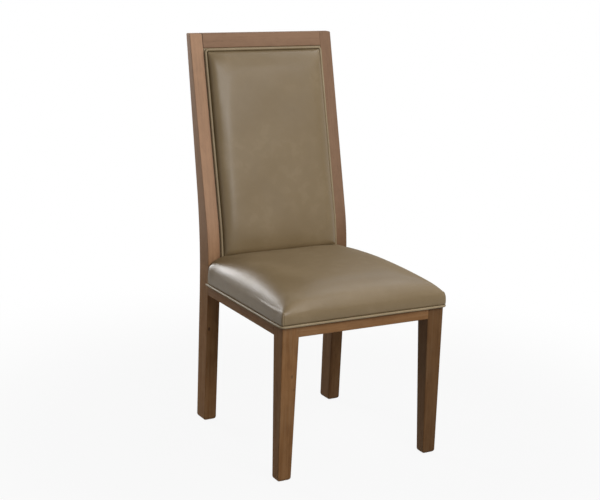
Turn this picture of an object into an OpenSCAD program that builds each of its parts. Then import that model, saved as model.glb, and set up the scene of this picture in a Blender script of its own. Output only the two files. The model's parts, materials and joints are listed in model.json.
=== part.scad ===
// Side chair with a tall upholstered back: swept one-piece rear posts, tapered front legs,
// mortised seat rails, a crowned leather seat over the rails and a leather pad in the back frame.
// Millimetres. The chair faces -Y and +Z is up. Left and right are as seen from the front.

/* [Overall] */
// Height of the back above the floor
overall_h = 1067; // [1000:1:1120]
// Width across the outer faces of the front legs
front_w = 480; // [450:1:510]
// Width across the outer faces of the rear posts
rear_w = 442; // [412:1:470]
// Front faces of the front legs to the front faces of the rear posts
seat_run = 455; // [420:1:490]
// Underside of the front apron above the floor
apron_z = 380; // [350:1:410]
// Backward slope of the seat frame, in degrees
seat_tilt = 1.2; // [0:0.1:2.5]

/* [Front legs] */
// Side of the square leg where the aprons join it
leg_size = 47; // [43:0.5:52]
// Taken off the inner face by the floor
leg_taper_in = 9.5; // [4:0.5:12]
// Taken off the back face by the floor
leg_taper_back = 15.5; // [6:0.5:17]
// Radius of the eased long edges of the posts and legs
arris = 2.5; // [1:0.25:3.5]
// Radius of the rounding all round the foot
foot_round = 8.5; // [5:0.5:9]

/* [Rear posts] */
// Width of a rear post, seen from the front
post_w = 37; // [34:0.5:42]
// Depth of a rear post at the seat rails
post_d = 53.5; // [51:0.5:58]
// Lean of the front face above the seat, in degrees
back_rake = 14; // [11:0.1:15]
// Lean of the rear face above the seat, in degrees
back_face_rake = 11.4; // [10:0.1:12]
// Radius of the bend in the front face above the seat
bend_r = 620; // [500:10:800]
// Radius of the bend in the rear face above the seat
back_bend_r = 1390; // [1200:10:1600]
// Backward splay of the front face below the seat, in degrees
leg_splay = 1.3; // [0:0.1:2.5]
// Backward splay of the rear face below the seat, in degrees
heel_splay = 0.4; // [0:0.1:1.5]
// Radius of the bends below the seat
heel_r = 1300; // [900:10:1600]
// Straight length of post left above and below the seat rail joint
joint_margin = 1.5; // [0.5:0.5:5]
// Start of the rear face's bend above the underside of the rails
rear_bend_rise = 10; // [4:1:30]
// Radius of the rounding at the top of the posts and the top rail
top_round = 3; // [1:0.5:4]

/* [Seat rails] */
// Height of the aprons
rail_h = 55; // [48:1:62]
// Thickness of the aprons
rail_t = 20; // [18:0.5:23]
// Radius of the eased edges of the rails
rail_ease = 2; // [0.5:0.25:3]
// Rear apron's back face in from the back of the posts
rear_apron_set = 5; // [2:0.5:7]
// Joint line between the rear apron and the lower edge of the back
rear_apron_gap = 1.5; // [1:0.25:3]
// Thickness of the apron tenons
tenon_t = 10; // [8:0.5:11]
// Height of the apron tenons
tenon_h = 38; // [30:1:42]
// Length of the apron tenons in the legs and posts
tenon_l = 22; // [16:1:24]
// Gap round a tenon in its mortise
tenon_gap = 0.15; // [0.1:0.05:0.3]
// Gap left at the bottom of a mortise
tenon_end_gap = 1; // [0.5:0.5:2]
// Length of a corner block along each apron
block_leg = 55; // [48:1:62]
// Height of a corner block
block_h = 35; // [30:1:40]
// Gap between a corner block and the leg or post in its notch
block_gap = 0.3; // [0.2:0.1:1]

/* [Back frame] */
// Height of the top rail's face
top_rail_h = 39; // [34:1:44]
// Thickness of the back rail tenons
back_tenon_t = 8; // [6:0.5:9]
// Height of the top rail's tenon
top_tenon_h = 24; // [18:1:26]
// Length of the back rail tenons
back_tenon_l = 20; // [14:1:24]
// Height of the lower back rail
lower_rail_h = 42; // [36:1:48]
// Shoulder above and below the lower back rail's tenon
tenon_shoulder = 6; // [4:0.5:9]
// Lower back rail above the seat board
lower_rail_gap = 9; // [6:0.5:14]
// Width of the battens inside the posts
batten_w = 15; // [12:0.5:18]

/* [Seat upholstery] */
// Thickness of the plywood seat board
seat_board_t = 12; // [9:0.5:15]
// Centre of the seat welt above the underside of the rails
welt_h = 32; // [26:0.5:36]
// Radius of the seat welt
seat_welt_r = 3.2; // [2.5:0.1:4]
// Centre of the seat welt out from the faces of the legs
welt_off = 5.6; // [5:0.1:7]
// Leather's outer face at its hem, out from the faces of the legs
cover_off = 5.2; // [4.8:0.1:6.5]
// Thickness of the leather
leather_t = 1.5; // [1.2:0.1:1.6]
// Fullness of the seat's sides between welt and edge
seat_bulge = 2.2; // [0:0.1:4]
// Height of the seat's sides above the welt, at the corners
seat_wall = 38; // [37:1:48]
// Rise of the crown above the sides
seat_rise = 54; // [40:1:62]
// How square the crown is from side to side
crown_power = 8; // [3:0.5:12]
// How softly the crown's side shoulders rise
side_ease = 1; // [0.8:0.1:1.6]
// How square the crown's front shoulder is
front_power = 1.4; // [1:0.1:3]
// How softly the crown's front shoulder rises
front_ease = 0.35; // [0.3:0.05:0.8]
// Run of the front shoulder up to the full crown
front_run = 240; // [150:10:260]
// Share of the crown lost at the back of the seat
rear_fall = 0.2; // [0:0.02:0.4]
// Plan radius of the seat's front corners
seat_corner_r = 7; // [4:0.5:14]
// How far the sides are drawn in between the corners
seat_draw = 0.75; // [0:0.25:1.25]
// Height of the tack strip behind the welt
tack_h = 10; // [8:0.5:14]
// Thickness of the tack strip
tack_t = 1.6; // [1.2:0.1:1.8]
// Thickness of the dust cover under the seat
dust_t = 0.8; // [0.5:0.1:1.5]

/* [Back pad] */
// Thickness of the plywood under the back pad
back_board_t = 6; // [4:0.5:6]
// Depth of that plywood behind the front face of the frame
back_board_set = 4; // [3:0.5:5]
// Radius of the back pad's welt
back_welt_r = 2.9; // [2.2:0.1:3.2]
// Height of the pad's sides in front of its plywood
pad_wall = 9; // [6:0.5:14]
// Crown of the pad above its sides
pad_rise = 22; // [14:1:26]
// How square the pad's crown is from side to side
pad_power = 4.5; // [3:0.5:8]
// How square the pad's crown is from bottom to top
pad_long_power = 13.5; // [8:0.5:18]
// How softly the pad's shoulders rise
pad_ease = 0.6; // [0.4:0.05:1]
// Plan radius of the pad's corners
pad_corner_r = 5; // [4:0.5:12]

/* [Outside back] */
// Thickness of the hardboard in the outside back
outside_board_t = 3; // [2:0.5:3]
// Depth of the outside leather behind the rear face of the frame
outside_set = 2; // [1:0.25:3]
// Radius of the outside back's welt
outside_welt_r = 2.2; // [1.8:0.1:2.4]
// Fullness of the outside back's leather
outside_rise = 1.2; // [0:0.1:1.5]

/* [Fixings] */
// Diameter of the foot glides
glide_d = 13; // [10:0.5:13]
// Height of the glides below the wood
glide_h = 2; // [1:0.5:4]
// Diameter of a glide's nail
glide_nail_d = 2.5; // [2:0.25:3]
// Length of a glide's nail
glide_nail_l = 14; // [10:1:20]
// Shank diameter of the wood screws
screw_d = 4.2; // [3.5:0.1:4.5]
// Head diameter of the wood screws
screw_head_d = 8; // [7:0.25:8.5]
// Depth of the screw heads below the surface
head_sink = 1; // [1:0.25:2]
// Radial gap round a screw in its hole
screw_gap = 0.2; // [0.1:0.05:0.3]
// Wood of a corner block above the seat screw's recess
block_under_head = 12; // [9:0.5:16]
// Depth of the block screws in the legs and posts
block_screw_bite = 18; // [12:1:20]
// Depth of the seat screws in the seat board
seat_screw_bite = 9; // [6:0.5:9]
// Depth of the batten screws in the posts
batten_screw_bite = 16; // [12:1:22]
// Depth of the pad screws in the pad's plywood
pad_screw_bite = 4; // [2:0.5:4]

/* [Hidden] */
$fn = 48;

// Thin air between pieces that are not glued face to face
skin_gap = 0.3;
// How far a counterbore is led out past a surface, which may slope
hole_lead = 3;
// Steps in an eased edge, in the rounding of a foot and along a bend
ease_steps = 3;
foot_steps = 5;
bend_steps = 12;
// Half width of the opening between the posts
open_x = rear_w / 2 - post_w;
// Wadding that fills the leather's side between the rails and the skirt
wadding_t = cover_off - leather_t - seat_draw - 2 * skin_gap;
// Heights of the seat parts above the underside of the rails
board_h = rail_h;
board_top_h = rail_h + seat_board_t;
hem_h = welt_h + seat_welt_r + skin_gap;
// The joint zone where the posts stay straight
joint_bottom = seat_z(seat_run) - joint_margin;
joint_top = seat_z(seat_run) + rail_h + joint_margin;
// The back opening from the lower rail to the top rail
lower_rail_z = seat_z(seat_run + post_d) + board_top_h + lower_rail_gap;
top_rail_z = overall_h - top_rail_h;
pad_z0 = lower_rail_z;
// Rear apron's front face, and its height up to the lower edge of the back
rear_apron_y = seat_run + post_d - rear_apron_set - rail_t;
rear_apron_h = board_top_h + lower_rail_gap - rear_apron_gap;
// Plan angle of the side aprons
side_run = seat_run - leg_size;
side_angle = atan((front_w - rear_w) / 2 / side_run);
side_rail_l = side_run / cos(side_angle) / cos(seat_tilt);
// Puts the chair's box in the middle of the Y axis
front_reach = welt_off + seat_welt_r;
rear_reach = max([for (l = top_levels()) post_rear(l[0]) - l[1]]);
y_shift = (front_reach - rear_reach) / 2;

wood = [0.50, 0.36, 0.25];
inner_wood = [0.78, 0.66, 0.48];
leather = [0.53, 0.46, 0.36];
welt_leather = [0.58, 0.52, 0.42];
foam = [0.88, 0.84, 0.70];
steel = [0.70, 0.70, 0.68];
cloth = [0.10, 0.10, 0.11];

function unit(v) = v / norm(v);

// Underside of the seat rails at a place front to back
function seat_z(y) = apron_z - y * tan(seat_tilt);

// Outer face of the leg and side apron at a place front to back
function half_w(y) =
    front_w / 2 - max(0, y - leg_size) * tan(side_angle);

// How far a face has moved back after a bend of radius r into a straight lean of angle a
function bend(s, r, a) =
    s <= 0 ? 0
    : s < r * sin(a) ? r - sqrt(r * r - s * s)
    : r * (1 - cos(a)) + (s - r * sin(a)) * tan(a);

function post_front(z) =
    seat_run + bend(z - joint_top, bend_r, back_rake) + bend(joint_bottom - z, heel_r, leg_splay);

function post_rear(z) =
    seat_run + post_d
    + bend(z - seat_z(seat_run) - rear_bend_rise, back_bend_r, back_face_rake)
    + bend(joint_bottom - z, heel_r, heel_splay);

// Heights and insets of the rounding at a foot and at the top of a post
function foot_levels() = [
    for (k = [0 : foot_steps])
        let (a = 90 * k / foot_steps)
        [glide_h + foot_round * (1 - cos(a)), foot_round * (1 - sin(a))]
];
function top_levels() = [
    for (k = [0 : ease_steps])
        let (a = 90 * k / ease_steps)
        [overall_h - top_round * (1 - sin(a)), top_round * (1 - cos(a))]
];

// Heights where the post changes direction, with steps along its bends
function bend_levels(z0, z1) = [
    for (k = [0 : bend_steps]) z0 + (z1 - z0) * k / bend_steps
];
function heel_levels() =
    let (low = joint_bottom - heel_r * max(sin(leg_splay), sin(heel_splay)))
    [for (k = [0 : ease_steps]) low + (joint_bottom - low) * k / ease_steps];
function back_bend_end() =
    joint_top + max(
        bend_r * sin(back_rake),
        seat_z(seat_run) + rear_bend_rise - joint_top + back_bend_r * sin(back_face_rake)
    );
function post_levels() = concat(
    foot_levels(),
    [for (z = heel_levels()) [z, 0]],
    [for (z = bend_levels(joint_top, back_bend_end())) [z, 0]],
    top_levels()
);

// A convex outline, counter-clockwise, with its corners rounded to radius r
function eased(pts, r) =
    let (n = len(pts))
    [for (i = [0 : n - 1])
        let (
            p = pts[i],
            a = unit(pts[(i + n - 1) % n] - p),
            b = unit(pts[(i + 1) % n] - p),
            half = acos(a * b) / 2,
            c = p + unit(a + b) * r / sin(half),
            from = p + a * r / tan(half) - c,
            start = atan2(from[1], from[0])
        )
        for (k = [0 : ease_steps])
            let (t = start + (180 - 2 * half) * k / ease_steps)
            c + r * [cos(t), sin(t)]
    ];

function rectangle(x0, x1, y0, y1) = [[x0, y0], [x1, y0], [x1, y1], [x0, y1]];

// A solid skinned over a stack of outlines that share a point count, lowest first
module loft(sections) {
    n = len(sections[0]);
    m = len(sections);
    points = [for (s = sections) for (p = s) p];
    sides = [
        for (k = [0 : m - 2]) for (i = [0 : n - 1])
            let (j = (i + 1) % n, a = k * n + i, b = k * n + j, c = b + n, d = a + n)
            each [[a, d, c], [a, c, b]]
    ];
    bottom = [for (i = [1 : n - 2]) [0, i, i + 1]];
    top = [for (i = [1 : n - 2]) [(m - 1) * n, (m - 1) * n + i + 1, (m - 1) * n + i]];
    polyhedron(points = points, faces = concat(bottom, sides, top), convexity = 4);
}

// A closed skin over rings of points between a first and a last pole
module rings_between(first, rings, last) {
    n = len(rings[0]);
    m = len(rings);
    points = concat([first], [for (r = rings) for (p = r) p], [last]);
    start = [for (i = [0 : n - 1]) [0, 1 + i, 1 + (i + 1) % n]];
    bands = [
        for (k = [0 : m - 2]) for (i = [0 : n - 1])
            let (j = (i + 1) % n, a = 1 + k * n + i, b = 1 + k * n + j, c = b + n, d = a + n)
            each [[a, d, c], [a, c, b]]
    ];
    finish = [
        for (i = [0 : n - 1])
            [1 + (m - 1) * n + (i + 1) % n, 1 + (m - 1) * n + i, 1 + m * n]
    ];
    polyhedron(points = points, faces = concat(start, bands, finish), convexity = 6);
}

// A round cord along a path, with flat ends
module cord_along(path, r, sides) {
    m = len(path);
    sections = [
        for (k = [0 : m - 1])
            let (
                t = unit(path[min(k + 1, m - 1)] - path[max(k - 1, 0)]),
                e = unit(cross([0, 0, 1] + 0.001 * t, t)),
                f = cross(t, e)
            )
            [for (i = [0 : sides - 1])
                let (a = 360 * (i + 0.5) / sides)
                path[k] + r * (cos(a) * e + sin(a) * f)]
    ];
    loft(sections);
}

// A closed round cord, its frames built from the axis it runs round
module cord_loop(path, r, sides, axis) {
    m = len(path);
    points = [
        for (k = [0 : m - 1])
            let (
                t = unit(path[(k + 1) % m] - path[(k + m - 1) % m]),
                e = unit(cross(axis, t)),
                f = cross(t, e)
            )
            for (i = [0 : sides - 1])
                let (a = 360 * (i + 0.5) / sides)
                path[k] + r * (cos(a) * e + sin(a) * f)
    ];
    faces = [
        for (k = [0 : m - 1]) for (i = [0 : sides - 1])
            let (
                j = (i + 1) % sides,
                l = (k + 1) % m,
                a = k * sides + i,
                b = k * sides + j,
                c = l * sides + j,
                d = l * sides + i
            )
            each [[a, d, c], [a, c, b]]
    ];
    polyhedron(points = points, faces = faces, convexity = 8);
}

// Draws the right-hand piece, or its mirror image on the left
module on_side(side) {
    if (side > 0)
        children();
    else
        mirror([1, 0, 0]) children();
}

// Moves the chair so that its box is centred front to back
module placed(shade) {
    color(shade) translate([0, y_shift, 0]) children();
}

// Runs a profile drawn in Y and Z along X
module along_x(x0, x1) {
    translate([x0, 0, 0]) rotate([90, 0, 90]) linear_extrude(x1 - x0) children();
}

// The round-ended section of a tenon, grown by its gap for the mortise
module tenon_section(t, h, gap) {
    square([t + 2 * gap, h - t], center = true);
    for (s = [-1, 1])
        translate([0, s * (h - t) / 2]) circle(t / 2 + gap);
}

// A countersunk wood screw along +Z, its head sunk below a surface at the origin
module screw(length) {
    r = screw_d / 2;
    head_r = screw_head_d / 2;
    rotate_extrude() polygon([
        [0, head_sink], [head_r, head_sink], [r, head_sink + head_r - r], [r, length], [0, length]
    ]);
}

// The hole for a screw, with its counterbore led out through the surface
module screw_hole(length, lead) {
    r = screw_d / 2 + screw_gap;
    head_r = screw_head_d / 2 + screw_gap;
    rotate_extrude() polygon([
        [0, -lead], [head_r, -lead], [head_r, head_sink], [r, head_sink + head_r - r],
        [r, length + tenon_end_gap], [0, length + tenon_end_gap]
    ]);
}

// Tenons of the front and rear aprons: one bar right through, or a mortise when it has a gap
module cross_tenon(y, h, half_l, gap) {
    along_x(-half_l - gap_end(gap), half_l + gap_end(gap))
        translate([y, seat_z(y) + h / 2]) tenon_section(tenon_t, tenon_h, gap);
}
function gap_end(gap) = gap > 0 ? tenon_end_gap : 0;

// Tenons of a side apron, in line with it
module side_tenon(gap) {
    reach = tenon_l + gap_end(gap);
    y = leg_size;
    x = half_w(y) - rail_t / 2 / cos(side_angle);
    translate([x, y, seat_z(y) + rail_h / 2])
        rotate([0, 0, side_angle])
            rotate([-90 - seat_tilt, 0, 0])
                translate([0, 0, -reach])
                    linear_extrude(side_rail_l + 2 * reach) tenon_section(tenon_t, tenon_h, gap);
}

front_tenon_reach = front_w / 2 - leg_size + tenon_l;
rear_tenon_reach = open_x + tenon_l;
front_tenon_y = rail_t / 2;
rear_tenon_y = rear_apron_y + rail_t / 2;

// Middle of the top rail's section, and of the lower back rail's
function mid_depth(z) = (post_front(z) + post_rear(z)) / 2;
lower_rail_front = back_board_set + back_board_t + skin_gap;
outside_depth = outside_set + leather_t + outside_rise + outside_board_t + skin_gap;
top_tenon_z = top_rail_z + top_rail_h / 2;
lower_tenon_z = lower_rail_z + lower_rail_h / 2;
lower_tenon_h = lower_rail_h - 2 * tenon_shoulder;

module top_tenon(gap) {
    half_l = open_x + back_tenon_l + gap_end(gap);
    along_x(-half_l, half_l)
        translate([mid_depth(top_tenon_z), top_tenon_z])
            tenon_section(back_tenon_t, top_tenon_h, gap);
}

module lower_tenon(gap) {
    half_l = open_x + back_tenon_l + gap_end(gap);
    along_x(-half_l, half_l)
        translate([mid_depth(lower_tenon_z), lower_tenon_z])
            tenon_section(back_tenon_t, lower_tenon_h, gap);
}

// Plan outlines of the corner blocks on the right, from the apron round the notch to the side
function side_in(y) = half_w(y) - rail_t / cos(side_angle);
front_block_y = leg_size + block_leg;
rear_block_y = seat_run - block_leg;
front_block = [
    [front_w / 2 - leg_size - block_leg, rail_t],
    [front_w / 2 - leg_size - block_gap, rail_t],
    [front_w / 2 - leg_size - block_gap, leg_size + block_gap],
    [side_in(leg_size + block_gap), leg_size + block_gap],
    [side_in(front_block_y), front_block_y]
];
rear_block = [
    [open_x - block_leg, rear_apron_y],
    [open_x - block_gap, rear_apron_y],
    [open_x - block_gap, seat_run - block_gap],
    [side_in(seat_run - block_gap), seat_run - block_gap],
    [side_in(rear_block_y), rear_block_y]
];

// A block's two cross screws run square to its long face into the leg's corner
function block_mid(b) =
    let (u = unit(b[4] - b[0]))
    b[0] + u * ((b[2] - b[0]) * u);
function block_way(b) = unit(b[2] - block_mid(b));
function block_reach(b) = norm(b[2] - block_mid(b)) + block_screw_bite;
block_screw_hs = [rail_h - block_h * 0.75, rail_h - block_h * 0.25];

module at_block_screws(b) {
    way = block_way(b);
    mid = block_mid(b);
    for (h = block_screw_hs)
        translate([mid[0], mid[1], seat_z(mid[1]) + h])
            rotate([0, 90, atan2(way[1], way[0])]) children();
}

// The seat screw stands near the end of the block that lies against the front or rear apron
seat_screw_in = 0.35 * block_leg;
function seat_screw_at(b) =
    let (away = b[4][1] > b[0][1] ? 1 : -1)
    [b[0][0] + seat_screw_in, b[0][1] + away * screw_head_d];
seat_screw_recess = block_h - block_under_head;
seat_screw_l = block_under_head + seat_screw_bite;

module at_seat_screw(b) {
    p = seat_screw_at(b);
    translate([p[0], p[1], seat_z(p[1]) + rail_h - block_h + seat_screw_recess]) children();
}

// Heights of the screws through the battens
batten_z0 = lower_rail_z + lower_rail_h;
function batten_z(share) = batten_z0 + share * (top_rail_z - batten_z0);
batten_screw_zs = [for (s = [0.12, 0.45, 0.78]) batten_z(s)];
pad_screw_zs = [for (s = [0.22, 0.55, 0.88]) batten_z(s)];
function batten_back(z) = post_rear(z) - outside_depth;

module at_batten_screws() {
    for (z = batten_screw_zs)
        translate([open_x - batten_w, (post_front(z) + lower_rail_front + batten_back(z)) / 2, z])
            rotate([0, 90, 0]) children();
}

module at_pad_screw(z) {
    translate([open_x - batten_w / 2, batten_back(z), z]) rotate([90, 0, 0]) children();
}
function pad_screw_l(z) =
    batten_back(z) - post_front(z) - back_board_set - back_board_t + pad_screw_bite;

// Rear post, made for the right and mirrored: lofted blank less its mortises and pilot holes
module rear_post(side) {
    placed(wood) on_side(side) difference() {
        loft([
            for (l = post_levels())
                let (z = l[0], e = l[1])
                [for (p = eased(rectangle(
                    open_x + e, rear_w / 2 - e, post_front(z) + e, post_rear(z) - e
                ), arris)) [p[0], p[1], z]]
        ]);
        side_tenon(tenon_gap);
        cross_tenon(rear_tenon_y, rear_apron_h, rear_tenon_reach, tenon_gap);
        top_tenon(tenon_gap);
        lower_tenon(tenon_gap);
        at_block_screws(rear_block)
            cylinder(h = block_reach(rear_block) + tenon_end_gap, r = screw_d / 2 + screw_gap);
        at_batten_screws()
            cylinder(h = batten_w + batten_screw_bite + tenon_end_gap, r = screw_d / 2 + screw_gap);
        at_glide(rear_foot) glide_nail(screw_gap, tenon_end_gap);
    }
}

// Front leg, square at the aprons and tapered on its two inner faces
function leg_share(z) = max(0, 1 - z / apron_z);
function leg_section(z, e) =
    let (t = leg_share(z))
    eased(rectangle(
        front_w / 2 - leg_size + leg_taper_in * t + e, front_w / 2 - e,
        e, leg_size - leg_taper_back * t - e
    ), arris);

module front_leg(side) {
    placed(wood) on_side(side) difference() {
        loft(concat(
            [for (l = foot_levels()) [for (p = leg_section(l[0], l[1])) [p[0], p[1], l[0]]]],
            [[for (p = leg_section(apron_z, 0)) [p[0], p[1], seat_z(p[1])]]],
            [[for (p = leg_section(apron_z, 0)) [p[0], p[1], seat_z(p[1]) + rail_h]]]
        ));
        side_tenon(tenon_gap);
        cross_tenon(front_tenon_y, rail_h, front_tenon_reach, tenon_gap);
        at_block_screws(front_block)
            cylinder(h = block_reach(front_block) + tenon_end_gap, r = screw_d / 2 + screw_gap);
        at_glide(front_foot) glide_nail(screw_gap, tenon_end_gap);
    }
}

// Section of the front or rear apron from its front face at y, h high
function apron_section(y, h) = eased([
    [y, seat_z(y)],
    [y + rail_t, seat_z(y + rail_t)],
    [y + rail_t, seat_z(y + rail_t) + h],
    [y, seat_z(y) + h]
], rail_ease);

module front_apron() {
    reach = front_w / 2 - leg_size;
    placed(wood) {
        along_x(-reach, reach) polygon(apron_section(0, rail_h));
        cross_tenon(front_tenon_y, rail_h, front_tenon_reach, 0);
    }
}

module rear_apron() {
    placed(wood) {
        along_x(-open_x, open_x) polygon(apron_section(rear_apron_y, rear_apron_h));
        cross_tenon(rear_tenon_y, rear_apron_h, rear_tenon_reach, 0);
    }
}

// Section of a side apron, listed clockwise for a loft that runs backwards along Y
function side_section(y) =
    let (e = eased(rectangle(side_in(y), half_w(y), 0, rail_h), rail_ease), n = len(e))
    [for (i = [n - 1 : -1 : 0]) [e[i][0], y, seat_z(y) + e[i][1]]];

module side_apron(side) {
    placed(wood) on_side(side) {
        loft([for (y = [leg_size, seat_run]) side_section(y)]);
        side_tenon(0);
    }
}

module top_rail() {
    z0 = top_rail_z;
    z1 = overall_h;
    placed(wood) {
        along_x(-open_x, open_x) polygon(eased([
            [post_front(z0), z0], [post_rear(z0), z0], [post_rear(z1), z1], [post_front(z1), z1]
        ], top_round));
        top_tenon(0);
    }
}

module lower_back_rail() {
    z0 = lower_rail_z;
    z1 = lower_rail_z + lower_rail_h;
    placed(wood) {
        along_x(-open_x, open_x) polygon(eased([
            [post_front(z1) + lower_rail_front, z0], [batten_back(z0), z0],
            [batten_back(z0), z1], [post_front(z1) + lower_rail_front, z1]
        ], rail_ease));
        lower_tenon(0);
    }
}

// Heights sampled along the bend of the back opening
function opening_zs(z0, z1, steps) = [for (k = [0 : steps]) z0 + (z1 - z0) * k / steps];

// A curved board in the back opening between two depths, given as functions of the height
module back_batten(side) {
    zs = opening_zs(batten_z0 + skin_gap, top_rail_z - skin_gap, bend_steps);
    placed(inner_wood) on_side(side) difference() {
        along_x(open_x - batten_w, open_x) polygon(concat(
            [for (z = zs) [batten_back(z), z]],
            [for (i = [len(zs) - 1 : -1 : 0]) [post_front(zs[i]) + lower_rail_front, zs[i]]]
        ));
        at_batten_screws() screw_hole(batten_w + batten_screw_bite, hole_lead);
        for (z = pad_screw_zs)
            at_pad_screw(z) screw_hole(pad_screw_l(z), hole_lead);
    }
}

module corner_block(b, side) {
    h0 = rail_h - block_h;
    placed(inner_wood) on_side(side) difference() {
        seat_plate(b, h0, rail_h);
        at_block_screws(b) screw_hole(block_reach(b), hole_lead);
        at_seat_screw(b) screw_hole(seat_screw_l, block_h);
    }
}

module block_screws() {
    placed(steel) for (side = [-1, 1]) on_side(side)
        for (b = [front_block, rear_block])
            at_block_screws(b) screw(block_reach(b));
}

module seat_screws() {
    placed(steel) for (side = [-1, 1]) on_side(side)
        for (b = [front_block, rear_block])
            at_seat_screw(b) screw(seat_screw_l);
}

module batten_screws() {
    placed(steel) for (side = [-1, 1]) on_side(side)
        at_batten_screws() screw(batten_w + batten_screw_bite);
}

module pad_screws() {
    placed(steel) for (side = [-1, 1]) on_side(side)
        for (z = pad_screw_zs)
            at_pad_screw(z) screw(pad_screw_l(z));
}

// A flat piece with upright edges whose faces lie parallel to the seat, h0 to h1 above the rails
module seat_plate(outline, h0, h1) {
    intersection() {
        linear_extrude(overall_h) polygon(outline);
        translate([0, 0, apron_z + h0]) rotate([-seat_tilt, 0, 0])
            translate([-front_w, -front_w, 0])
                cube([2 * front_w, 3 * front_w, (h1 - h0) * cos(seat_tilt)]);
    }
}

// Plywood board on the rails, notched round the posts and butted to the rear apron
board_notch_y = seat_run - skin_gap;
board_rear_y = rear_apron_y - skin_gap;
board_tongue_x = open_x - skin_gap;
seat_board_outline = concat(
    corner_arc([-front_w / 2, 0], [1, 1], seat_corner_r, 180),
    corner_arc([front_w / 2, 0], [-1, 1], seat_corner_r, 270),
    [
        [half_w(leg_size), leg_size],
        [half_w(board_notch_y), board_notch_y],
        [board_tongue_x, board_notch_y],
        [board_tongue_x, board_rear_y],
        [-board_tongue_x, board_rear_y],
        [-board_tongue_x, board_notch_y],
        [-half_w(board_notch_y), board_notch_y],
        [-half_w(leg_size), leg_size]
    ]
);

// Quarter circle in a corner, from a start angle and counter-clockwise
function corner_arc(corner, inward, r, start) = [
    for (k = [0 : ease_steps])
        let (a = start + 90 * k / ease_steps)
        corner + r * inward + r * [cos(a), sin(a)]
];

module seat_board() {
    placed(inner_wood) difference() {
        seat_plate(seat_board_outline, board_h, board_top_h);
        for (side = [-1, 1]) on_side(side)
            for (b = [front_block, rear_block])
                at_seat_screw(b)
                    cylinder(h = seat_screw_l + tenon_end_gap / 2, r = screw_d / 2 + screw_gap);
    }
}

// Plan path round the front and sides of the seat, offset outwards, from left rear to right rear
function skirt_path(off, end_gap) =
    let (y1 = seat_run - end_gap, r = seat_corner_r + off)
    concat(
        [[-half_w(y1) - off, y1], [-half_w(leg_size) - off, leg_size]],
        corner_arc([-front_w / 2 - off, -off], [1, 1], r, 180),
        corner_arc([front_w / 2 + off, -off], [-1, 1], r, 270),
        [[half_w(leg_size) + off, leg_size], [half_w(y1) + off, y1]]
    );

// A band that follows the outside of the rails between two offsets and two heights
module skirt_band(off0, off1, h0, h1) {
    outer = skirt_path(off1, skin_gap);
    inner = skirt_path(off0, skin_gap);
    loft([
        for (i = [0 : len(inner) - 1]) [
            for (c = [[outer[i], h0], [outer[i], h1], [inner[i], h1], [inner[i], h0]])
                [c[0][0], c[0][1], seat_z(c[0][1]) + c[1]]
        ]
    ]);
}

module seat_wadding() {
    placed(foam) skirt_band(skin_gap, skin_gap + wadding_t, welt_h + tack_h, board_top_h);
}

module seat_tack_strip() {
    placed([0.75, 0.66, 0.50]) skirt_band(skin_gap, skin_gap + tack_t, welt_h - 1, welt_h + tack_h - skin_gap);
}

// Crown of the seat over its plan, above the underside of the rails
function crown_h(x, y) =
    let (
        u = min(1, abs(x) / (half_w(y) + cover_off)),
        v = min(1, max(0, y + cover_off) / front_run),
        across = pow(max(0, 1 - pow(u, crown_power)), side_ease),
        along = pow(max(0, 1 - pow(1 - v, front_power)), front_ease),
        back = max(0, (y - front_run) / (seat_run - front_run))
    )
    welt_h + seat_wall + seat_rise * across * along * (1 - rear_fall * back * back);

// Depth of the pad's face behind the front of the back frame, over its width and height
pad_z1 = top_rail_z;
pad_inset = 2 * back_welt_r + 3 * skin_gap;
pad_half_x = open_x - pad_inset;
pad_mid_z = (pad_z0 + pad_z1) / 2;
pad_half_z = (pad_z1 - pad_z0) / 2 - pad_inset;
function pad_depth(x, z) =
    let (
        u = min(1, abs(x) / pad_half_x),
        v = min(1, abs(z - pad_mid_z) / pad_half_z),
        across = pow(max(0, 1 - pow(u, pad_power)), pad_ease),
        along = pow(max(0, 1 - pow(v, pad_long_power)), pad_ease),
        full = across * along
    )
    back_board_set - pad_wall - pad_rise * full;

// Back edge of the seat cushion: against the posts, and hollow for the pad between them
seat_back_z = seat_z(seat_run) + welt_h + seat_wall + seat_rise * (1 - rear_fall) + 2;
function seat_back_y(x) =
    abs(x) > pad_half_x + 1
    ? seat_run - skin_gap
    : min(seat_run - skin_gap, post_front(seat_back_z) + pad_depth(x, seat_back_z) - 3 * skin_gap);

// Perimeter of the seat cushion, counter-clockwise seen from above
front_steps = 10;
side_steps = 9;
back_steps = 14;
function seat_edge(off, tuck) =
    let (
        r = seat_corner_r + off - cover_off,
        y0 = -off,
        x0 = front_w / 2 + off,
        y1 = seat_run - skin_gap - tuck,
        back_x = half_w(y1) + off
    )
    concat(
        corner_arc([-x0, y0], [1, 1], r, 180),
        [for (k = [1 : front_steps - 1])
            let (t = k / front_steps)
            [-x0 + r + 2 * (x0 - r) * t, y0 + seat_draw * sin(180 * t)]],
        corner_arc([x0, y0], [-1, 1], r, 270),
        [for (k = [1 : side_steps])
            let (t = k / side_steps, y = y0 + r + (y1 - y0 - r) * t)
            [half_w(y) + off - seat_draw * sin(180 * t), y]],
        [for (k = [1 : back_steps - 1])
            let (x = back_x * cos(180 * k / back_steps) * top_scales[0])
            [x, seat_back_y(x) - tuck]],
        [for (k = [side_steps : -1 : 1])
            let (t = k / side_steps, y = y0 + r + (y1 - y0 - r) * t)
            [-half_w(y) - off + seat_draw * sin(180 * t), y]]
    );

// True for a point on the back edge, where the leather is tucked down to the board
function at_back(p) = p[1] > seat_run - 2 * pad_rise && abs(p[0]) < half_w(seat_run) + 1;

seat_centre_y = seat_run / 2;
wall_shares = [0, 0.3, 0.65, 1];
top_scales = [0.985, 0.95, 0.89, 0.79, 0.62, 0.42, 0.2];
inner_scales = [0.95, 0.79, 0.42];

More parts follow.
